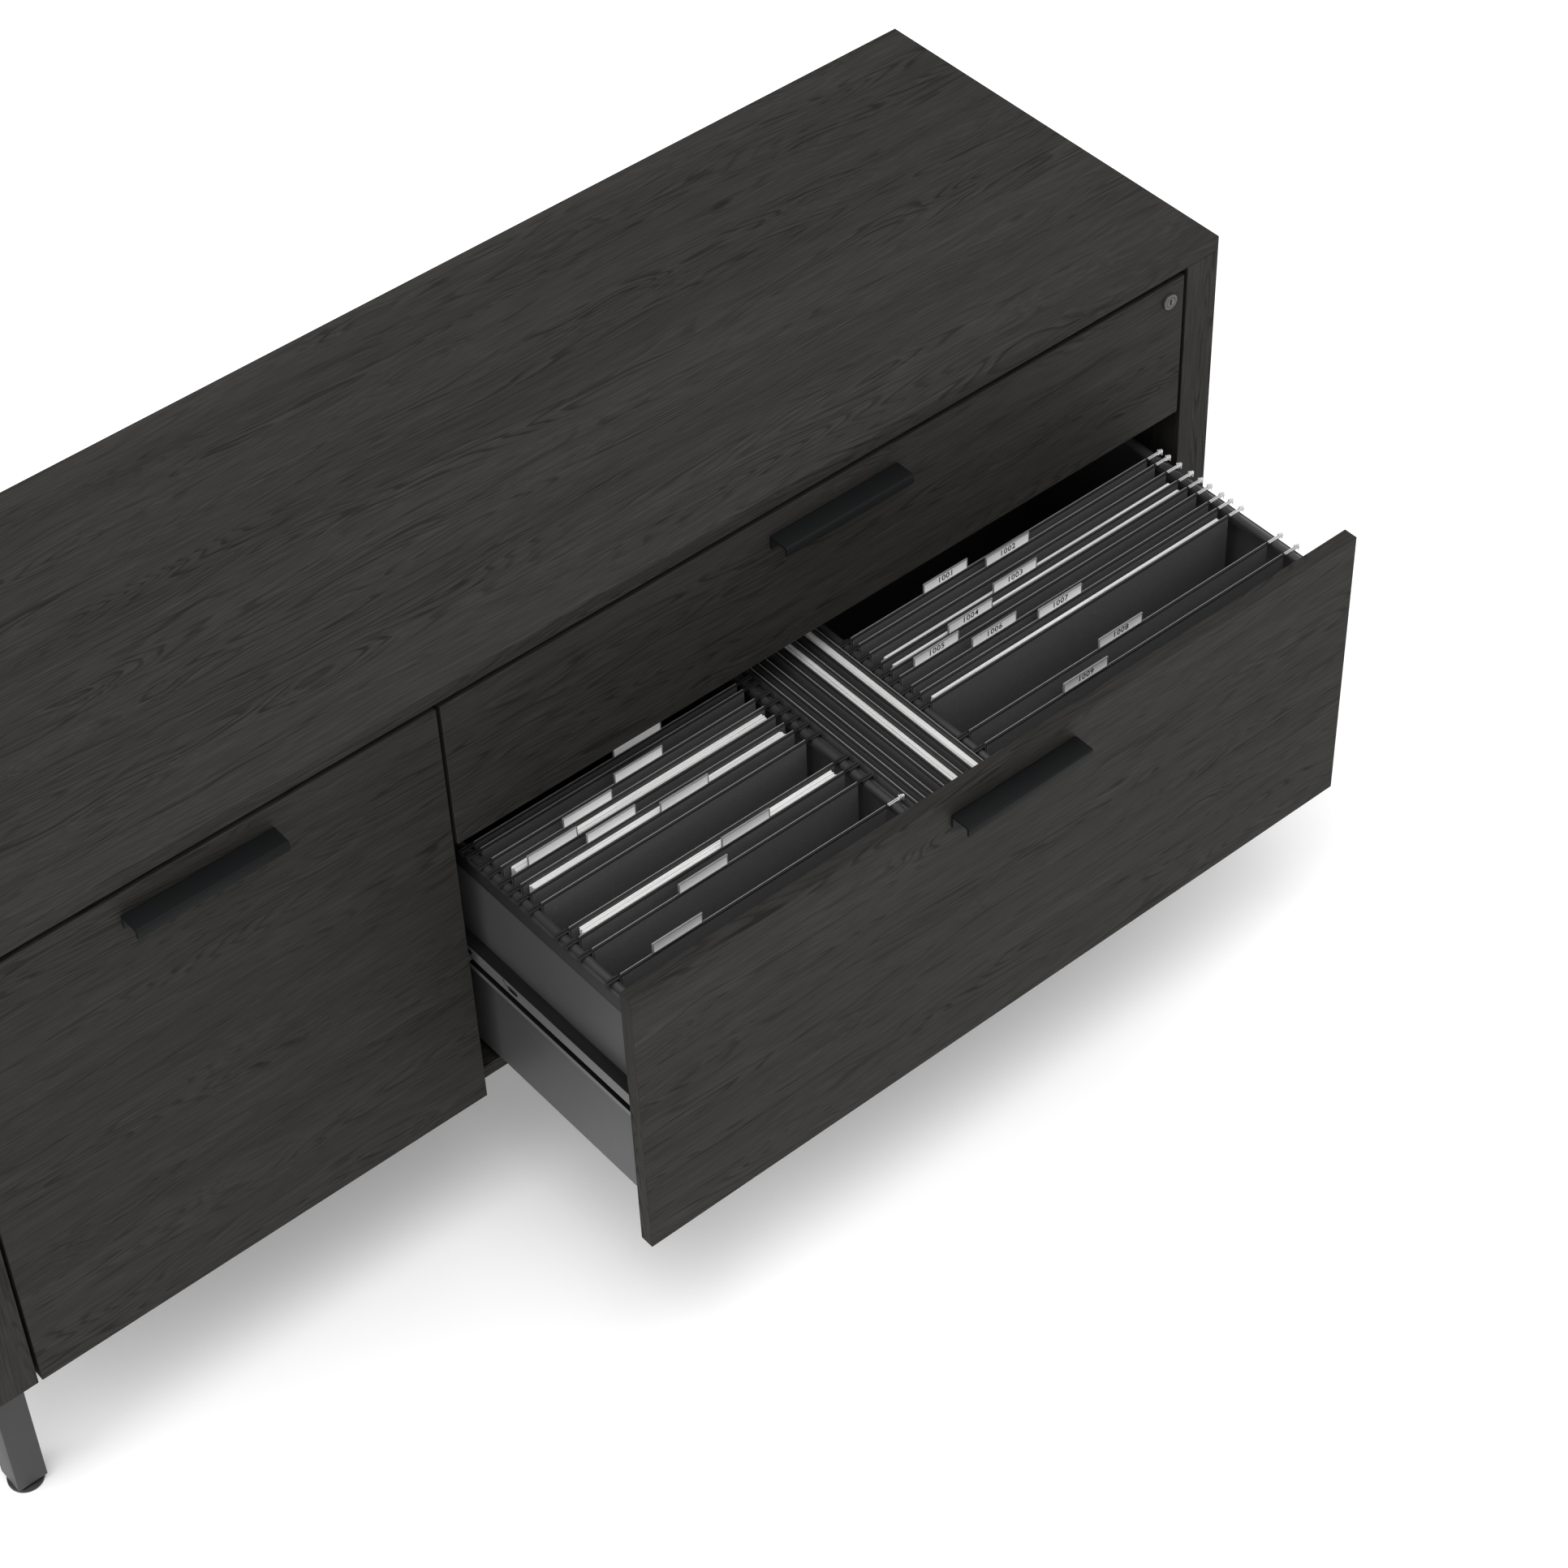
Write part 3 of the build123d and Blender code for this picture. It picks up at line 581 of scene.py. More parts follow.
class CredenzaSizes(bpy.types.PropertyGroup):
    """Sizes of the pieces that are modelled here."""

    pull_sheet: millimetres("Pull sheet", "Thickness of the pull's steel", 2.4)
    pull_lip: millimetres("Pull lip", "Height of the pull's front lip", 9.8)
    pull_bend: millimetres("Pull bend", "Radius of the pull's bends", 1.0)
    lever_place: millimetres("Lever place", "Foot of a release lever behind the channel's front end", 175.0)
    lever_drop: millimetres("Lever drop", "Foot of a release lever below the channel's top", 7.0)
    lever_radius: millimetres("Lever radius", "Radius of the lever's arc", 6.5)
    lever_wire: millimetres("Lever wire", "Half the thickness of the lever", 0.45)
    card_thick: millimetres("Card", "Thickness of one layer of a file leaf", 0.65)
    front_rise: millimetres("Front rise", "Top of a leaf's front layer over the rails", 0.3)
    back_rise: millimetres("Back rise", "Top of a leaf's back layer over the rails", 2.4)
    back_reach: millimetres("Back reach", "How much further left the back layer starts", 1.6)
    rod_past_card: millimetres("Rod past card", "How far a rod stands out of its leaf", 16.2)
    arm_thick: millimetres("Arm thickness", "Thickness of each of a rod's two arms", 0.7)
    arm_gap: millimetres("Arm gap", "Gap between a rod's two arms", 1.1)
    arm_height: millimetres("Arm height", "Top of the arms over the rails", 1.6)
    hook_drop: millimetres("Hook drop", "How far hooks and saddles reach down beside a rail", 4.0)
    bare_length: millimetres("Bare length", "Bright end of a rod, measured from its rail's far side", 14.0)
    clip_width: millimetres("Saddle width", "Width of the saddle between a rod and its rail", 5.0)
    saddle_slit: millimetres("Saddle slit", "Slit between the halves of a saddle", 0.9)
    saddle_height: millimetres("Saddle height", "Top of a saddle over the rails", 1.9)
    sheet_bundle: millimetres("Sheet bundle", "Thickness of sheets that stand level with each other", 1.5)
    bundle_jitter: millimetres("Bundle jitter", "How unevenly the bundles of sheets stand", 1.2)
    tab_border: millimetres("Tab border", "Rim of the vinyl holder around its slip", 1.0)
    number_height: millimetres("Number height", "Height of the numbers on the tabs", 6.5)
    leg_round: millimetres("Leg rounding", "Radius of the leg tube's corners", 2.0)
    leg_wall: millimetres("Leg wall", "Thickness of the leg tube", 2.0)
    pad_thick: millimetres("Foot pad", "Thickness of a foot's pad at its rim", 4.0)
    nut_radius: millimetres("Nut radius", "Half the width of a foot's nut over its corners", 7.0)
    nut_thick: millimetres("Nut thickness", "Thickness of a foot's nut", 3.2)
    stem_radius: millimetres("Stem radius", "Radius of a foot's threaded stem", 4.0)
    stem_length: millimetres("Stem length", "Length of a foot's threaded stem", 14.0)
    keyway_width: millimetres("Keyway width", "Width of the slot for the key", 1.8)
    keyway_height: millimetres("Keyway height", "Height of the slot for the key", 6.5)
    keyway_depth: millimetres("Keyway depth", "Depth of the slot for the key", 12.0)
    barrel_flange: millimetres("Lock flange", "Thickness of the lock's front flange", 2.5)
    cam_grip: millimetres("Cam grip", "Length of the square that carries the cam", 2.0)
    tooth_thick: millimetres("Tooth thickness", "Thickness of a tooth at a bare rod end", 1.1)
    tooth_pitch: millimetres("Tooth pitch", "Distance from tooth to tooth", 2.3)
    tooth_rise: millimetres("Tooth rise", "Top of the first tooth over the rails", 4.2)
    tooth_step: millimetres("Tooth step", "How much lower each next tooth stands", 0.9)
    trim_thick: millimetres("Trim thickness", "Thickness of the strips under the outer rails", 0.8)
    trim_height: millimetres("Trim height", "Height of the strips under the outer rails", 15.0)
    trim_bead: millimetres("Trim bead", "Height of the bead at a strip's foot", 1.6)
    bare_reach: millimetres("Bare reach", "How much further a bare rod end runs past its rail", 4.0)


class CredenzaColours(bpy.types.PropertyGroup):
    """Colours of the finishes."""

    veneer: finish_colour("Veneer", "Stained ash", "#282725")
    board: finish_colour("Board", "Melamine board inside the case", "#161616")
    leg: finish_colour("Legs", "Powder coat on the leg frames", "#1b1b1c")
    pull: finish_colour("Pulls", "Powder coat on the pulls", "#0f1011")
    drawer_steel: finish_colour("Drawer steel", "Enamel on the drawer boxes", "#444444")
    slide: finish_colour("Slides", "Zinc plate on the slides", "#6a6a6a")
    # painted shade: the near black of the slides' faces that look up or down
    flat_face_shade: finish_colour("Grease", "Grease film where the slides lie flat", "#161616")
    # painted highlight: the lighter grey of the rails' round tops
    rail: finish_colour("Rails", "Bare steel on top of the file rails", "#333333")
    # partly painted highlight: the near white of the rods' bare ends
    rod: finish_colour("Rods", "Nickel plate on the rods", "#e6e6e6")
    lock: finish_colour("Lock", "Dark nickel plate on the lock", "#4a4a4a")
    plastic: finish_colour("Plastic", "Nylon clips and feet", "#141414")
    card: finish_colour("Card", "Dyed pressboard of the file leaves", "#4b4b4c")
    # painted highlight: the pale tone of the leaves' top and end faces
    card_edge: finish_colour("Card fold", "Rubbed fold along a leaf's top", "#8c8c8d")
    paper: finish_colour("Paper", "Office paper", "#dfdfde")
    tab: finish_colour("Tab", "Vinyl of the tabs", "#808184")
    label: finish_colour("Slip", "Paper slip in a tab", "#f2f2f1")
    ink: finish_colour("Ink", "Numbers on the slips", "#1c1c1c")


class CredenzaStage(bpy.types.PropertyGroup):
    """Camera, lights and floor."""

    azimuth: bpy.props.FloatProperty(
        name="Azimuth", description="Direction the camera looks, from +Y towards +X",
        default=math.radians(38.389), subtype="ANGLE",
    )
    elevation: bpy.props.FloatProperty(
        name="Elevation", description="How far down the camera looks",
        default=math.radians(45.524), subtype="ANGLE",
    )
    roll: bpy.props.FloatProperty(
        name="Roll", description="How far the camera leans to its right",
        default=math.radians(2.447), subtype="ANGLE",
    )
    distance: bpy.props.FloatProperty(
        name="Distance", description="Camera to the point it looks at", default=3.3218, unit="LENGTH",
    )
    aim: bpy.props.FloatVectorProperty(
        name="Aim", description="Point that the camera looks at", default=(0.0955, -0.192, 0.457),
        subtype="TRANSLATION", unit="LENGTH",
    )
    lens: bpy.props.FloatProperty(name="Lens", description="Focal length in millimetres", default=87.18)
    floor_colour: finish_colour("Floor", "Matt pale floor", "#f4f4f4")
    key_power: bpy.props.FloatProperty(name="Key light", description="Power in watts", default=430)
    side_power: bpy.props.FloatProperty(name="Side light", description="Power in watts", default=40)
    floor_glow: bpy.props.FloatProperty(
        name="Floor glow", description="Light behind the floor sheet", default=0.15,
    )
    sky_strength: bpy.props.FloatProperty(
        name="Sky", description="Strength of the even light all round", default=0.9,
    )


# ------------------------------------------------------------------ stage
class CREDENZA_OT_stage(bpy.types.Operator):
    """Add the camera, the pale floor and the soft lights"""

    bl_idname = "credenza.stage"
    bl_label = "Stage"

    def execute(self, context):
        stage = context.scene.credenza_stage
        self.add_camera(context, stage)
        self.add_floor(stage)
        aim = Vector(stage.aim)
        self.add_light("key_light", aim, Vector((-1.8, -2.2, 8.6)), 5.5, stage.key_power)
        self.add_light("side_light", aim, Vector((-4.4, 0.6, 2.6)), 2.6, stage.side_power)
        world = bpy.data.worlds.new("studio")
        world.use_nodes = True
        world.node_tree.nodes.clear()
        sky = add_node(world.node_tree, "ShaderNodeBackground", {0: (1, 1, 1, 1), 1: stage.sky_strength})
        add_node(world.node_tree, "ShaderNodeOutputWorld", {0: sky.outputs[0]})
        context.scene.world = world
        context.scene.view_settings.view_transform = "Standard"
        return {"FINISHED"}

    def add_camera(self, context, stage):
        turn = (
            Matrix.Rotation(-stage.azimuth, 4, "Z")
            @ Matrix.Rotation(math.pi / 2 - stage.elevation, 4, "X")
            @ Matrix.Rotation(-stage.roll, 4, "Z")
        )
        deselect()
        bpy.ops.object.camera_add()
        camera = context.object
        camera.name = "camera"
        place = Vector(stage.aim) + turn @ Vector((0, 0, stage.distance))
        camera.matrix_world = Matrix.Translation(place) @ turn
        camera.data.lens = stage.lens
        camera.data.sensor_width = 36
        camera.data.clip_end = 60
        context.scene.camera = camera

    def add_floor(self, stage):
        deselect()
        bpy.ops.mesh.primitive_plane_add(size=16)
        floor = bpy.context.object
        floor.name = "floor"
        # a translucent sheet with a little light behind it, which thins the shadows on it
        material, _tree, _shader = new_material(
            "matt_paper_floor", Roughness=0.9, Base_Color=stage.floor_colour, Specular_IOR_Level=0.1,
            Emission_Color=(1, 1, 1, 1), Emission_Strength=stage.floor_glow,
        )
        floor.data.materials.append(material)

    def add_light(self, name, aim, offset, size, power):
        deselect()
        bpy.ops.object.light_add(type="AREA", location=aim + offset)
        light = bpy.context.object
        light.name = name
        light.rotation_euler = (-offset).to_track_quat("-Z", "Y").to_euler()
        light.data.size = size
        light.data.energy = power


# ------------------------------------------------------------------ case, drawers and slides
class CREDENZA_OT_case(bpy.types.Operator):
    """Finish the boards of the case and the drawer fronts"""

    bl_idname = "credenza.case"
    bl_label = "Case and fronts"

    def execute(self, context):
        finish = materials()
        dress(("top_panel", "bottom_panel"), finish["veneer_top"])
        dress([f"{side}_side_panel" for side in SIDES], finish["veneer_side"])
        dress(BOARDS_ALONG, finish["veneer_front"])
        dress(BLACK_BOARDS, finish["board"])
        return {"FINISHED"}


class CREDENZA_OT_boxes(bpy.types.Operator):
    """Finish the steel drawer boxes"""

    bl_idname = "credenza.boxes"
    bl_label = "Drawer boxes"

    def execute(self, context):
        finish = materials()
        for drawer in DRAWERS:
            walls = [f"{drawer}_box_{part}" for part in ("left", "right", "bottom", "back")]
            dress(walls, finish["drawer_steel"])
        return {"FINISHED"}


class CREDENZA_OT_slides(bpy.types.Operator):
    """Finish the slides and add their release levers"""

    bl_idname = "credenza.slides"
    bl_label = "Slides"

    def execute(self, context):
        sizes = context.scene.credenza_sizes
        finish = materials()
        for drawer in DRAWERS:
            for side in SIDES:
                members = [f"{drawer}_slide_{part}_{side}" for part in ("case", "middle", "drawer")]
                dress(members, finish["slide"])
                node = members[-1]
                lever = self.make_lever(f"{drawer}_slide_lever_{side}", node, side, sizes)
                hand_over(lever, node, "slide_steel", finish["plastic"])
        return {"FINISHED"}

    def make_lever(self, name, node, side, sizes):
        """A thin quarter arc that rises from the front slot, half sunk in the channel's upper lip."""
        low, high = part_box(node)
        lip = low.x if side == "left" else high.x
        root = Vector((lip, low.y + sizes.lever_place, high.z - sizes.lever_drop))
        centre = root + Vector((0, 0, sizes.lever_radius))
        deselect()
        bpy.ops.mesh.primitive_torus_add(
            location=centre, rotation=(0, math.pi / 2, 0), major_radius=sizes.lever_radius,
            minor_radius=sizes.lever_wire, major_segments=64, minor_segments=16,
        )
        lever = bpy.context.object
        lever.name = name
        settle(lever)
        activate(lever)
        bpy.ops.object.mode_set(mode="EDIT")
        for normal in ((0, -1, 0), (0, 0, 1)):
            bpy.ops.mesh.select_all(action="SELECT")
            bpy.ops.mesh.bisect(plane_co=tuple(centre), plane_no=normal, clear_outer=True, use_fill=True)
        deselect()
        return soften(lever, 0.2 * MM, 1, 60)


# ------------------------------------------------------------------ base
class CREDENZA_OT_legs(bpy.types.Operator):
    """Model the two leg frames from square tube, and their levelling feet"""

    bl_idname = "credenza.legs"
    bl_label = "Legs and feet"

    def execute(self, context):
        sizes = context.scene.credenza_sizes
        finish = materials()
        for side in SIDES:
            node = f"{side}_leg_frame"
            piece = self.make_frame(f"{side}_leg_tube", node, sizes)
            hand_over(piece, node, "black_leg_steel", finish["leg"], replaces=[node])
        self.make_feet(sizes, finish)
        return {"FINISHED"}

    def make_frame(self, name, node, sizes):
        """An upside-down U: a post, the corner block on it, the beam, and the far post."""
        low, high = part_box(node)
        tube = high.x - low.x
        piece = block(name, low, (high.x, low.y + tube, high.z - tube))
        choose(piece, "FACE", lambda face: face.normal.z > 0.9)
        extrude((0, 0, tube))
        choose(piece, "FACE", lambda face: face.normal.y > 0.9 and middle_of(face).z > high.z - tube)
        extrude((0, high.y - low.y - 2 * tube, 0))
        extrude((0, tube, 0))
        choose(piece, "FACE", lambda face: face.normal.z < -0.9 and middle_of(face).y > high.y - tube)
        extrude((0, 0, low.z - high.z + tube))
        # the tube is open at the foot of each post
        choose(piece, "FACE", lambda face: face.normal.z < -0.9 and middle_of(face).z < low.z + tube / 2)
        bpy.ops.mesh.inset(thickness=sizes.leg_wall, use_individual=True)
        extrude((0, 0, tube))
        deselect()
        return soften(piece, sizes.leg_round, 3)

    def make_feet(self, sizes, finish):
        """A domed pad, a nut on it and a stem; one foot is modelled and copied."""
        feet = solids_of("levelling_feet")
        low, high = feet[0]
        centre = (low + high) / 2
        radius = (high.x - low.x) / 2
        dome_rise, neck_rise, nut_gap = 1.2 * MM, 2.6 * MM, 0.6 * MM
        pad = disc("foot", (centre.x, centre.y, low.z), radius, sizes.pad_thick)
        choose(pad, "FACE", lambda face: face.normal.z > 0.9)
        bpy.ops.mesh.inset(thickness=radius * 0.4)
        bpy.ops.transform.translate(value=(0, 0, dome_rise))
        bpy.ops.mesh.inset(thickness=radius * 0.2)
        extrude((0, 0, neck_rise))
        deselect()
        soften(pad, 0.6 * MM, 2, 30)
        on_pad = Vector((centre.x, centre.y, low.z + sizes.pad_thick))
        on_gap = on_pad + Vector((0, 0, nut_gap))
        nut = disc("foot_nut", on_gap, sizes.nut_radius, sizes.nut_thick, sides=6)
        soften(nut, 0.4 * MM)
        stem = disc("foot_stem", on_pad, sizes.stem_radius, sizes.stem_length, sides=24)
        soften(stem, 0.3 * MM)
        foot = join([pad, nut, stem], "levelling_foot_1")
        node = "levelling_feet"
        for number, (other_low, other_high) in enumerate(feet, 1):
            shift = (other_low + other_high) / 2 - centre
            piece = foot if number == 1 else copy_of(foot, f"levelling_foot_{number}", shift)
            hand_over(piece, node, "foot_plastic", finish["plastic"], replaces=[node])


# ------------------------------------------------------------------ pulls and lock
class CREDENZA_OT_pulls(bpy.types.Operator):
    """Bend the three pulls from sheet"""

    bl_idname = "credenza.pulls"
    bl_label = "Pulls"

    def execute(self, context):
        sizes = context.scene.credenza_sizes
        for drawer in DRAWERS:
            node = f"{drawer}_pull"
            piece = self.make_pull(f"{drawer}_bent_pull", node, sizes)
            hand_over(piece, node, "black_pull_metal", materials()["pull"], replaces=[node])
        return {"FINISHED"}

    def make_pull(self, name, node, sizes):
        """A plate with its front edge turned down as a lip and its back edge as a flange."""
        low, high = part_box(node)
        half = sizes.pull_sheet / 2
        front, back, top = low.y + half, high.y - half, high.z - half
        deselect()
        bpy.ops.mesh.primitive_plane_add(size=1, location=((low.x + high.x) / 2, (front + back) / 2, top))
        piece = bpy.context.object
        piece.name = name
        piece.scale = (high.x - low.x, back - front, 1)
        settle(piece)
        choose(piece, "EDGE", lambda edge: middle_of(edge).y < front + half / 2)
        extrude((0, 0, half - sizes.pull_lip))
        choose(piece, "EDGE", lambda edge: middle_of(edge).y > back - half / 2)
        extrude((0, 0, low.z - top))
        choose(
            piece, "EDGE",
            lambda edge: middle_of(edge).z > top - half / 2
            and (middle_of(edge).y < front + half / 2 or middle_of(edge).y > back - half / 2),
        )
        bpy.ops.mesh.bevel(offset=sizes.pull_bend, segments=5, affect="EDGES")
        deselect()
        apply_modifier(piece, "SOLIDIFY", thickness=sizes.pull_sheet, offset=0, use_even_offset=True)
        return soften(piece, 0.3 * MM, 2, 60)


class CREDENZA_OT_lock(bpy.types.Operator):
    """Model the lock's barrel, its turning plug with a keyway, and the cam"""

    bl_idname = "credenza.lock"
    bl_label = "Lock"

    def execute(self, context):
        sizes = context.scene.credenza_sizes
        finish = materials()
        self.make_barrel(sizes, finish)
        self.make_plug(sizes, finish)
        self.make_cam(finish)
        return {"FINISHED"}

    def make_barrel(self, sizes, finish):
        """A flange on the front's face and a body behind it, bored for the plug."""
        low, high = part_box("lock_barrel")
        plug_low, plug_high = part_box("lock_plug")
        radius = (high.x - low.x) / 2
        bore = (plug_high.x - plug_low.x) / 2 + 0.2 * MM
        x, z = (low.x + high.x) / 2, (low.z + high.z) / 2
        body = radius - 1 * MM
        piece = disc("lock_rim", (x, low.y, z), radius, sizes.barrel_flange, "Y", 64)
        choose(piece, "FACE", lambda face: face.normal.y > 0.9)
        bpy.ops.mesh.inset(thickness=radius - body)
        extrude((0, high.y - low.y - sizes.barrel_flange, 0))
        # the bore: rings inset on both ends, joined through the barrel
        for towards in (-1, 1):
            choose(piece, "FACE", lambda face: face.normal.y * towards > 0.9 and len(face.verts) > 8)
            bpy.ops.mesh.inset(thickness=(radius if towards < 0 else body) - bore)
        choose(piece, "FACE", lambda face: abs(face.normal.y) > 0.9 and len(face.verts) > 8)
        bpy.ops.mesh.bridge_edge_loops()
        deselect()
        soften(piece, 0.5 * MM, 3)
        hand_over(piece, "lock_barrel", "dark_lock_metal", finish["lock"], replaces=["lock_barrel"])

    def make_plug(self, sizes, finish):
        """A round plug with a keyway and a square end for the cam."""
        low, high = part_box("lock_plug")
        radius = (high.x - low.x) / 2
        x, z = (low.x + high.x) / 2, (low.z + high.z) / 2
        shank = 3 * MM
        square_y = high.y - sizes.cam_grip
        piece = disc("lock_core", (x, low.y, z), radius, square_y - low.y, "Y", 48)
        soften(piece, 0.4 * MM)
        keyway = Vector((sizes.keyway_width / 2, 0, sizes.keyway_height / 2))
        face = Vector((x, low.y, z))
        cut_from = face - keyway - Vector((0, MM, 0))
        cut_to = face + keyway + Vector((0, sizes.keyway_depth, 0))
        cutter = block("keyway_cutter", cut_from, cut_to)
        apply_modifier(piece, "BOOLEAN", operation="DIFFERENCE", object=cutter, solver="EXACT")
        bpy.data.objects.remove(cutter)
        square = block("lock_shank", (x - shank, square_y, z - shank), (x + shank, high.y, z + shank))
        soften(square, 0.3 * MM)
        piece = join([piece, square], "lock_core")
        hand_over(piece, "lock_plug", "dark_lock_metal", finish["lock"], replaces=["lock_plug"])

    def make_cam(self, finish):
        """A flat tongue with a round end about the plug's axis."""
        low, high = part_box("lock_cam")
        plug_low, plug_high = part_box("lock_plug")
        axis_x, z = (plug_low.x + plug_high.x) / 2, (low.z + high.z) / 2
        half = (high.z - low.z) / 2
        thick = high.y - low.y
        piece = disc("lock_tongue", (axis_x, low.y, z), half, thick, "Y", 32)
        # the far end of the round is drawn out to the tongue's tip
        choose(piece, "FACE", lambda face: face.normal.x < -0.05 and abs(face.normal.y) < 0.5)
        extrude((low.x + half - axis_x, 0, 0))
        bpy.ops.mesh.select_all(action="SELECT")
        bpy.ops.mesh.remove_doubles(threshold=0.01 * MM)
        deselect()
        soften(piece, 0.3 * MM)
        hand_over(piece, "lock_cam", "dark_lock_metal", finish["slide"], replaces=["lock_cam"])


# ------------------------------------------------------------------ files
class CREDENZA_OT_rails(bpy.types.Operator):
    """Finish the hanging-file rails and add the strips below the outer ones"""

    bl_idname = "credenza.rails"
    bl_label = "File rails"

    def execute(self, context):
        finish = materials()
        rails = [f"file_rail_{place}" for place in ("left", "mid_left", "mid_right", "right")]
        dress(rails + ["file_cross_bars"], finish["rail"])
        for side in SIDES:
            trim = self.make_trim(f"file_trim_{side}", side, context.scene.credenza_sizes)
            hand_over(trim, f"file_rail_{side}", "rail_metal", finish["plastic"])
        return {"FINISHED"}

    def make_trim(self, name, side, sizes):
        """A strip over the joint between a rail's skirt and the drawer side, with a bead at its foot."""
        outward = -1 if side == "left" else 1
        low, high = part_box(f"file_rail_{side}")
        face = low.x if side == "left" else high.x
        near, far = sorted((face, face + outward * sizes.trim_thick))
        top = high.z - BULB_HEIGHT / 2
        start, stop = Vector((near, low.y, top - sizes.trim_height)), Vector((far, high.y, top))
        trim = block(name, start, stop)
        bisect(trim, (near, low.y, start.z + sizes.trim_bead), Vector((0, 0, 1)))
        choose(
            trim, "FACE",
            lambda face: face.normal.x * outward > 0.9 and middle_of(face).z < start.z + sizes.trim_bead,
        )
        extrude((outward * sizes.trim_thick / 2, 0, 0))
        deselect()
        return soften(trim, 0.2 * MM, 2)


class CREDENZA_OT_folders(bpy.types.Operator):
    """Model the hanging leaves with their rods, hooks and prongs"""

    bl_idname = "credenza.folders"
    bl_label = "Hanging files"

    def execute(self, context):
        sizes = context.scene.credenza_sizes
        self.make_group("letter", 0, "file_rail_left", "file_rail_mid_left", 1, sizes)
        every_rod = len(solids_of("legal_files"))
        self.make_group("legal", 0, "file_rail_mid_right", "file_rail_right", every_rod, sizes)
        self.make_group("cross", 1, "file_cross_bars", "file_cross_bars", 0, sizes)
        return {"FINISHED"}

    def make_group(self, group, along, low_rail, high_rail, bright, sizes):
        """One leaf and one rod are modelled and copied. The first few rods have a bare end coloured near
        white, a painted highlight.
        """
        finish = materials()
        across = 1 - along
        node = f"{group}_files"
        solids = sorted(solids_of(node), key=lambda box: box[0][across])
        first_low, first_high = solids[0]
        rails = (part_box(low_rail)[0][along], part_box(high_rail)[1][along])
        card = self.make_card(f"{group}_leaf_1", first_low, first_high, along, sizes)
        rods = {False: self.make_rod("dark_rod", first_low, first_high, along, rails, False, sizes)}
        if bright:
            rods[True] = self.make_rod("bare_rod", first_low, first_high, along, rails, True, sizes)
        for number, (low, high) in enumerate(solids, 1):
            shift = low - first_low
            leaf = card if number == 1 else copy_of(card, f"{group}_leaf_{number}", shift)
            rod = copy_of(rods[number <= bright], f"{group}_rod_{number}", shift)
            hand_over(leaf, node, "file_card", finish["card"], finish["card_edge"], replaces=[node])
            hand_over(rod, node, "rail_metal", finish["plastic"], finish["rod"])
        for rod in rods.values():
            bpy.data.objects.remove(rod)

    def make_card(self, name, low, high, along, sizes):
        """A front layer hung from the rod and a back layer that stands higher, with a gap between."""
        across = 1 - along
        rail_top = high.z - ROD_HEIGHT
        near_top, far_top = rail_top + sizes.front_rise, rail_top + sizes.back_rise
        layers = []
        for top, near in ((near_top, True), (far_top, False)):
            start, stop = low.copy(), high.copy()
            start[along] += sizes.rod_past_card + (0 if near else -sizes.back_reach)
            stop[along] -= sizes.rod_past_card
            if near:
                stop[across] = low[across] + sizes.card_thick
            else:
                start[across] = high[across] - sizes.card_thick
            start.z, stop.z = low.z, top
            layer = block(name, start, stop)
            soften(layer, 0.2 * MM, 2)
            # the top and end faces take the paler card_edge colour, a painted highlight
            number_faces(
                layer, 1, lambda centre, normal: centre.z > top - 0.25 * MM or abs(normal[along]) > 0.5,
            )
            layers.append(layer)
        # the fold at the foot of the leaf joins the two layers
        start, stop = low.copy(), high.copy()
        start[along] += sizes.rod_past_card
        stop[along] -= sizes.rod_past_card
        stop.z = low.z + sizes.card_thick
        layers.append(soften(block(name, start, stop), 0.2 * MM, 2))
        for layer in layers:
            paint(layer, *[materials()[key] for key in ("card", "card_edge")])
        return join(layers, name)

    def make_rod(self, name, low, high, along, rails, highlit, sizes):
        """Two thin arms that lie over both rails and turn down past them, under a split saddle."""
        across = 1 - along
        if highlit:
            high = high.copy()
            high[along] += sizes.bare_reach
        middle = (low + high) / 2
        rail_top = high.z - ROD_HEIGHT
        normal = Vector((0, 0, 0))
        normal[along] = 1
        parts = []
        for direction in (-1, 1):
            start, stop = low.copy(), high.copy()
            offset = direction * (sizes.arm_gap + sizes.arm_thick) / 2
            start[across] = middle[across] + offset - sizes.arm_thick / 2
            stop[across] = middle[across] + offset + sizes.arm_thick / 2
            start.z, stop.z = rail_top + 0.1 * MM, rail_top + sizes.arm_height
            arm = block(name, start, stop)
            plated = start.copy()
            plated[along] = rails[1] - sizes.bare_length
            for end in (start + normal * sizes.arm_thick, plated, stop - normal * sizes.arm_thick):
                bisect(arm, end, normal)
            # each end is turned down past its rail
            choose(
                arm, "FACE",
                lambda face: face.normal.z < -0.9
                and min(middle_of(face)[along] - low[along], high[along] - middle_of(face)[along])
                < sizes.arm_thick,
            )
            extrude((0, 0, -sizes.hook_drop))
            deselect()
            soften(arm, 0.1 * MM, 1)
            # past the plated line the arm takes the near-white rod colour: bare metal with a painted
            # highlight
            number_faces(
                arm, 1, lambda centre, _normal: highlit and centre[along] > rails[1] - sizes.bare_length,
            )
            parts.append(arm)
        for rail, inward in ((rails[0], 1), (rails[1], -1)):
            if highlit and inward < 0:
                parts += self.make_prongs(high, middle, rail_top, along, sizes)
                continue
            for direction in (-1, 1):
                parts.append(self.make_saddle(rail, inward, direction, rail_top, middle, along, sizes))
        for part in parts:
            paint(part, *[materials()[key] for key in ("plastic", "rod")])
        return join(parts, name)

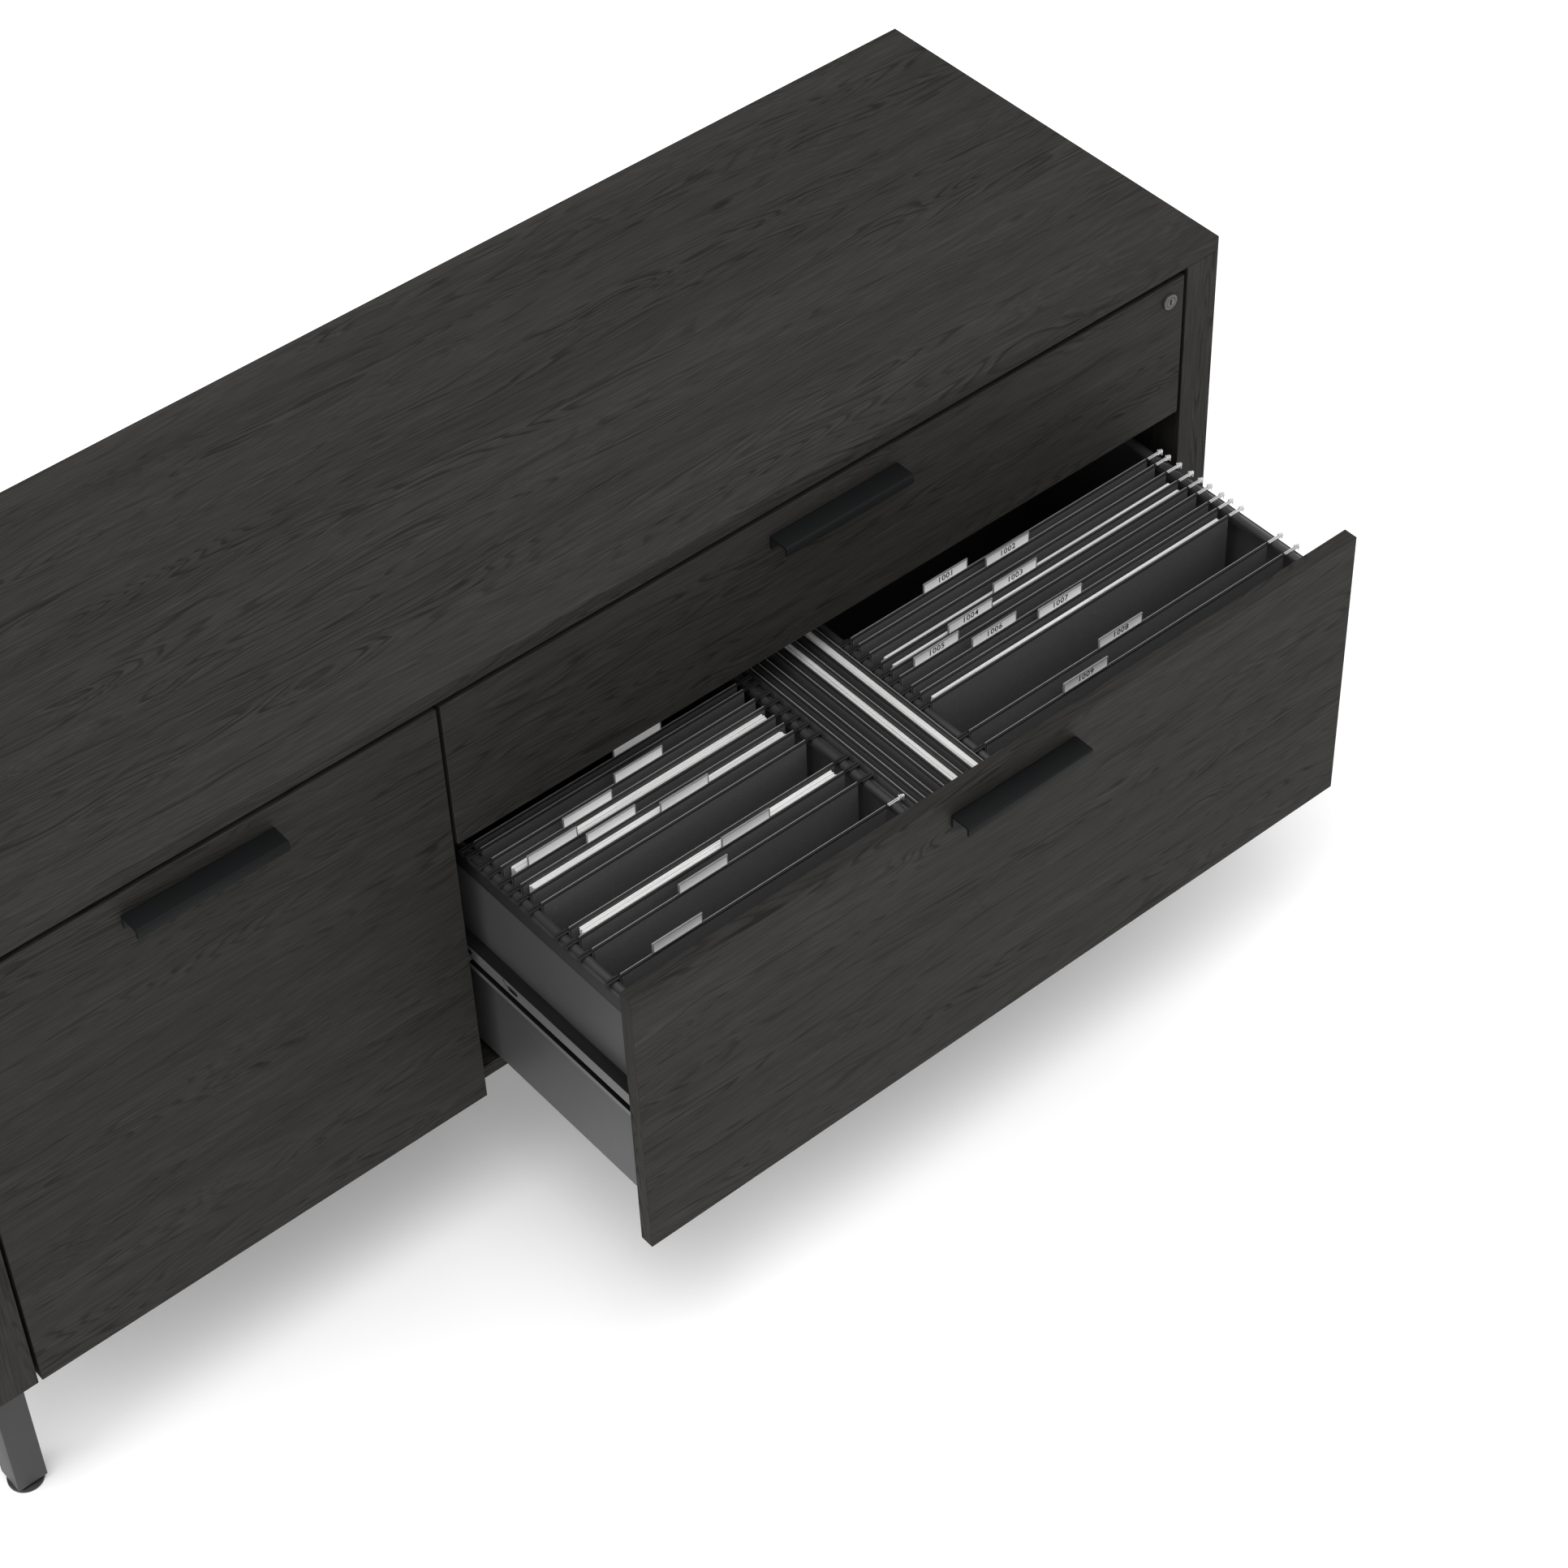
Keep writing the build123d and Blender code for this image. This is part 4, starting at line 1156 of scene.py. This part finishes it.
    def make_saddle(self, rail, inward, direction, rail_top, middle, along, sizes):
        """Half of a nylon saddle: it bridges the rail and reaches down on both of its sides."""
        across = 1 - along
        rail_low, rail_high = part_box("file_rail_left")
        play = 0.6 * MM
        ends = sorted((rail - inward * play, rail + inward * (rail_high.x - rail_low.x + play)))
        start, stop = Vector((0, 0, rail_top + 0.05 * MM)), Vector((0, 0, rail_top + sizes.saddle_height))
        start[along], stop[along] = ends
        near = middle[across] + direction * sizes.saddle_slit / 2
        far = middle[across] + direction * sizes.clip_width / 2
        start[across], stop[across] = sorted((near, far))
        saddle = block("saddle", start, stop)
        normal = Vector((0, 0, 0))
        normal[along] = 1
        lip = 0.5 * MM
        for end in (start + normal * lip, stop - normal * lip):
            bisect(saddle, end, normal)
        choose(
            saddle, "FACE",
            lambda face: face.normal.z < -0.9
            and min(middle_of(face)[along] - ends[0], ends[1] - middle_of(face)[along]) < lip,
        )
        extrude((0, 0, -sizes.hook_drop))
        deselect()
        return soften(saddle, 0.2 * MM, 1)

    def make_prongs(self, high, middle, rail_top, along, sizes):
        """The bare end of a rod: three short teeth that stand up past the rail."""
        across = 1 - along
        parts = []
        teeth, root, past_last = 3, 1.5 * MM, 0.6 * MM
        for tooth in range(teeth):
            start = Vector((0, 0, rail_top - root))
            stop = Vector((0, 0, rail_top + sizes.tooth_rise - sizes.tooth_step * tooth))
            start[along] = high[along] - past_last - sizes.tooth_pitch * (teeth - 1 - tooth)
            stop[along] = start[along] + sizes.tooth_thick
            start[across] = middle[across] - sizes.arm_gap / 2 - sizes.arm_thick
            stop[across] = middle[across] + sizes.arm_gap / 2 + sizes.arm_thick
            prong = soften(block("prong", start, stop), 0.25 * MM, 2)
            # the teeth take the near-white rod colour: bare metal with a painted highlight
            number_faces(prong, 1, lambda _centre, _normal: True)
            parts.append(prong)
        return parts


class CREDENZA_OT_papers(bpy.types.Operator):
    """Model the stacks of paper as bundles of sheets that stand unevenly"""

    bl_idname = "credenza.papers"
    bl_label = "Papers"

    def execute(self, context):
        sizes = context.scene.credenza_sizes
        finish = materials()
        chance = random.Random(5)
        for number, (low, high) in enumerate(solids_of("paper_stacks"), 1):
            across = 0 if high.x - low.x < high.y - low.y else 1
            count = max(3, round((high[across] - low[across]) / sizes.sheet_bundle))
            step = (high[across] - low[across]) / count
            top = high.copy()
            top[across] = low[across] + step
            first = block("bundle", low, top)
            bundles = []
            for place in range(count):
                shift = Vector((0, 0, -chance.random() * sizes.bundle_jitter))
                shift[1 - across] = (chance.random() - 0.5) * 2 * sizes.bundle_jitter
                shift[across] = place * step
                bundles.append(copy_of(first, "bundle", shift))
            bpy.data.objects.remove(first)
            stack = join(bundles, f"paper_stack_{number}")
            soften(stack, 0.15 * MM, 1)
            sheets = finish["paper_x" if across == 0 else "paper_y"]
            hand_over(stack, "paper_stacks", "paper", sheets, replaces=["paper_stacks"])
        return {"FINISHED"}


class CREDENZA_OT_tabs(bpy.types.Operator):
    """Model the label tabs, with numbers on those of the right-hand files"""

    bl_idname = "credenza.tabs"
    bl_label = "Label tabs"

    def execute(self, context):
        sizes = context.scene.credenza_sizes
        coats = [materials()[key] for key in ("tab", "label", "ink")]
        tabs = solids_of("label_tabs")
        split_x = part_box("file_rail_mid_right")[0].x
        first_low, first_high = tabs[0]
        tab = self.make_tab(first_low, first_high, sizes)
        plain = numbered = 0
        # the numbers run upwards from the back of the drawer to its front
        last_number = 1000 + sum(low.x > split_x for low, _high in tabs)
        for low, high in tabs:
            if low.x > split_x:
                name = f"legal_tab_{numbered + 1}"
                piece = copy_of(tab, name, low - first_low)
                text = self.make_number(str(last_number - numbered), low, high, sizes)
                for part in (piece, text):
                    paint(part, *coats)
                piece = join([piece, text], name)
                numbered += 1
            else:
                piece = copy_of(tab, f"letter_tab_{plain + 1}", low - first_low)
                plain += 1
            hand_over(piece, "label_tabs", "tab_plastic", *coats, replaces=["label_tabs"])
        bpy.data.objects.remove(tab)
        return {"FINISHED"}

    def make_tab(self, low, high, sizes):
        """A flat holder with a shallow window for the slip on both faces."""
        tab = block("tab", low, high)
        choose(tab, "FACE", lambda face: abs(face.normal.y) > 0.9)
        bpy.ops.mesh.inset(thickness=sizes.tab_border, use_individual=True)
        bpy.ops.mesh.inset(thickness=0.05 * MM, depth=-0.25 * MM, use_individual=True)
        deselect()
        centre_y = (low.y + high.y) / 2
        inner = (high.y - low.y) / 2 - 0.1 * MM
        number_faces(tab, 1, lambda centre, normal: abs(normal.y) > 0.9 and abs(centre.y - centre_y) < inner)
        return soften(tab, 0.2 * MM, 2)

    def make_number(self, text, low, high, sizes):
        """Mesh figures standing a hair proud of the slip's front."""
        deselect()
        bpy.ops.object.text_add()
        label = bpy.context.object
        label.data.body = text
        label.data.size = sizes.number_height * 1.4
        label.data.space_character = 1.1
        label.data.align_x = "CENTER"
        label.data.align_y = "CENTER"
        label.data.extrude = 0.06 * MM
        label.data.offset = 0.09 * MM
        label.data.resolution_u = 3
        activate(label)
        bpy.ops.object.convert(target="MESH")
        label = bpy.context.object
        label.rotation_euler = (math.pi / 2, 0, 0)
        label.location = ((low.x + high.x) / 2, low.y + 0.2 * MM, (low.z + high.z) / 2)
        settle(label)
        label.data.materials.clear()
        label.data.polygons.foreach_set("material_index", [2] * len(label.data.polygons))
        return label


# ------------------------------------------------------------------ panel and run
OPERATORS = (
    CREDENZA_OT_stage,
    CREDENZA_OT_case,
    CREDENZA_OT_boxes,
    CREDENZA_OT_slides,
    CREDENZA_OT_legs,
    CREDENZA_OT_pulls,
    CREDENZA_OT_lock,
    CREDENZA_OT_rails,
    CREDENZA_OT_folders,
    CREDENZA_OT_papers,
    CREDENZA_OT_tabs,
)


class CREDENZA_PT_panel(bpy.types.Panel):
    """Lists the makers and their settings"""

    bl_label = "Filing Credenza"
    bl_space_type = "VIEW_3D"
    bl_region_type = "UI"
    bl_category = "Credenza"

    def draw(self, context):
        for operator in OPERATORS:
            self.layout.operator(operator.bl_idname)
        for name in GROUPS:
            group = getattr(context.scene, name)
            box = self.layout.box()
            for setting in group.bl_rna.properties:
                if setting.identifier not in ("rna_type", "name"):
                    box.prop(group, setting.identifier)


GROUPS = {
    "credenza_sizes": CredenzaSizes,
    "credenza_colours": CredenzaColours,
    "credenza_stage": CredenzaStage,
}
finishes = {}


def materials():
    """The finishes, made on first use from the scene's colours."""
    if not finishes:
        finishes.update(build_materials(bpy.context.scene.credenza_colours))
    return finishes


def register():
    for group in GROUPS.values():
        bpy.utils.register_class(group)
    for name, group in GROUPS.items():
        setattr(bpy.types.Scene, name, bpy.props.PointerProperty(type=group))
    for operator in OPERATORS:
        bpy.utils.register_class(operator)
    bpy.utils.register_class(CREDENZA_PT_panel)


def unregister():
    bpy.utils.unregister_class(CREDENZA_PT_panel)
    for operator in reversed(OPERATORS):
        bpy.utils.unregister_class(operator)
    for name, group in GROUPS.items():
        delattr(bpy.types.Scene, name)
        bpy.utils.unregister_class(group)


def main():
    register()
    for operator in OPERATORS:
        getattr(bpy.ops.credenza, operator.bl_idname.split(".")[1])()
    deselect()
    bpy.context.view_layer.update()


if __name__ == "__main__":
    main()
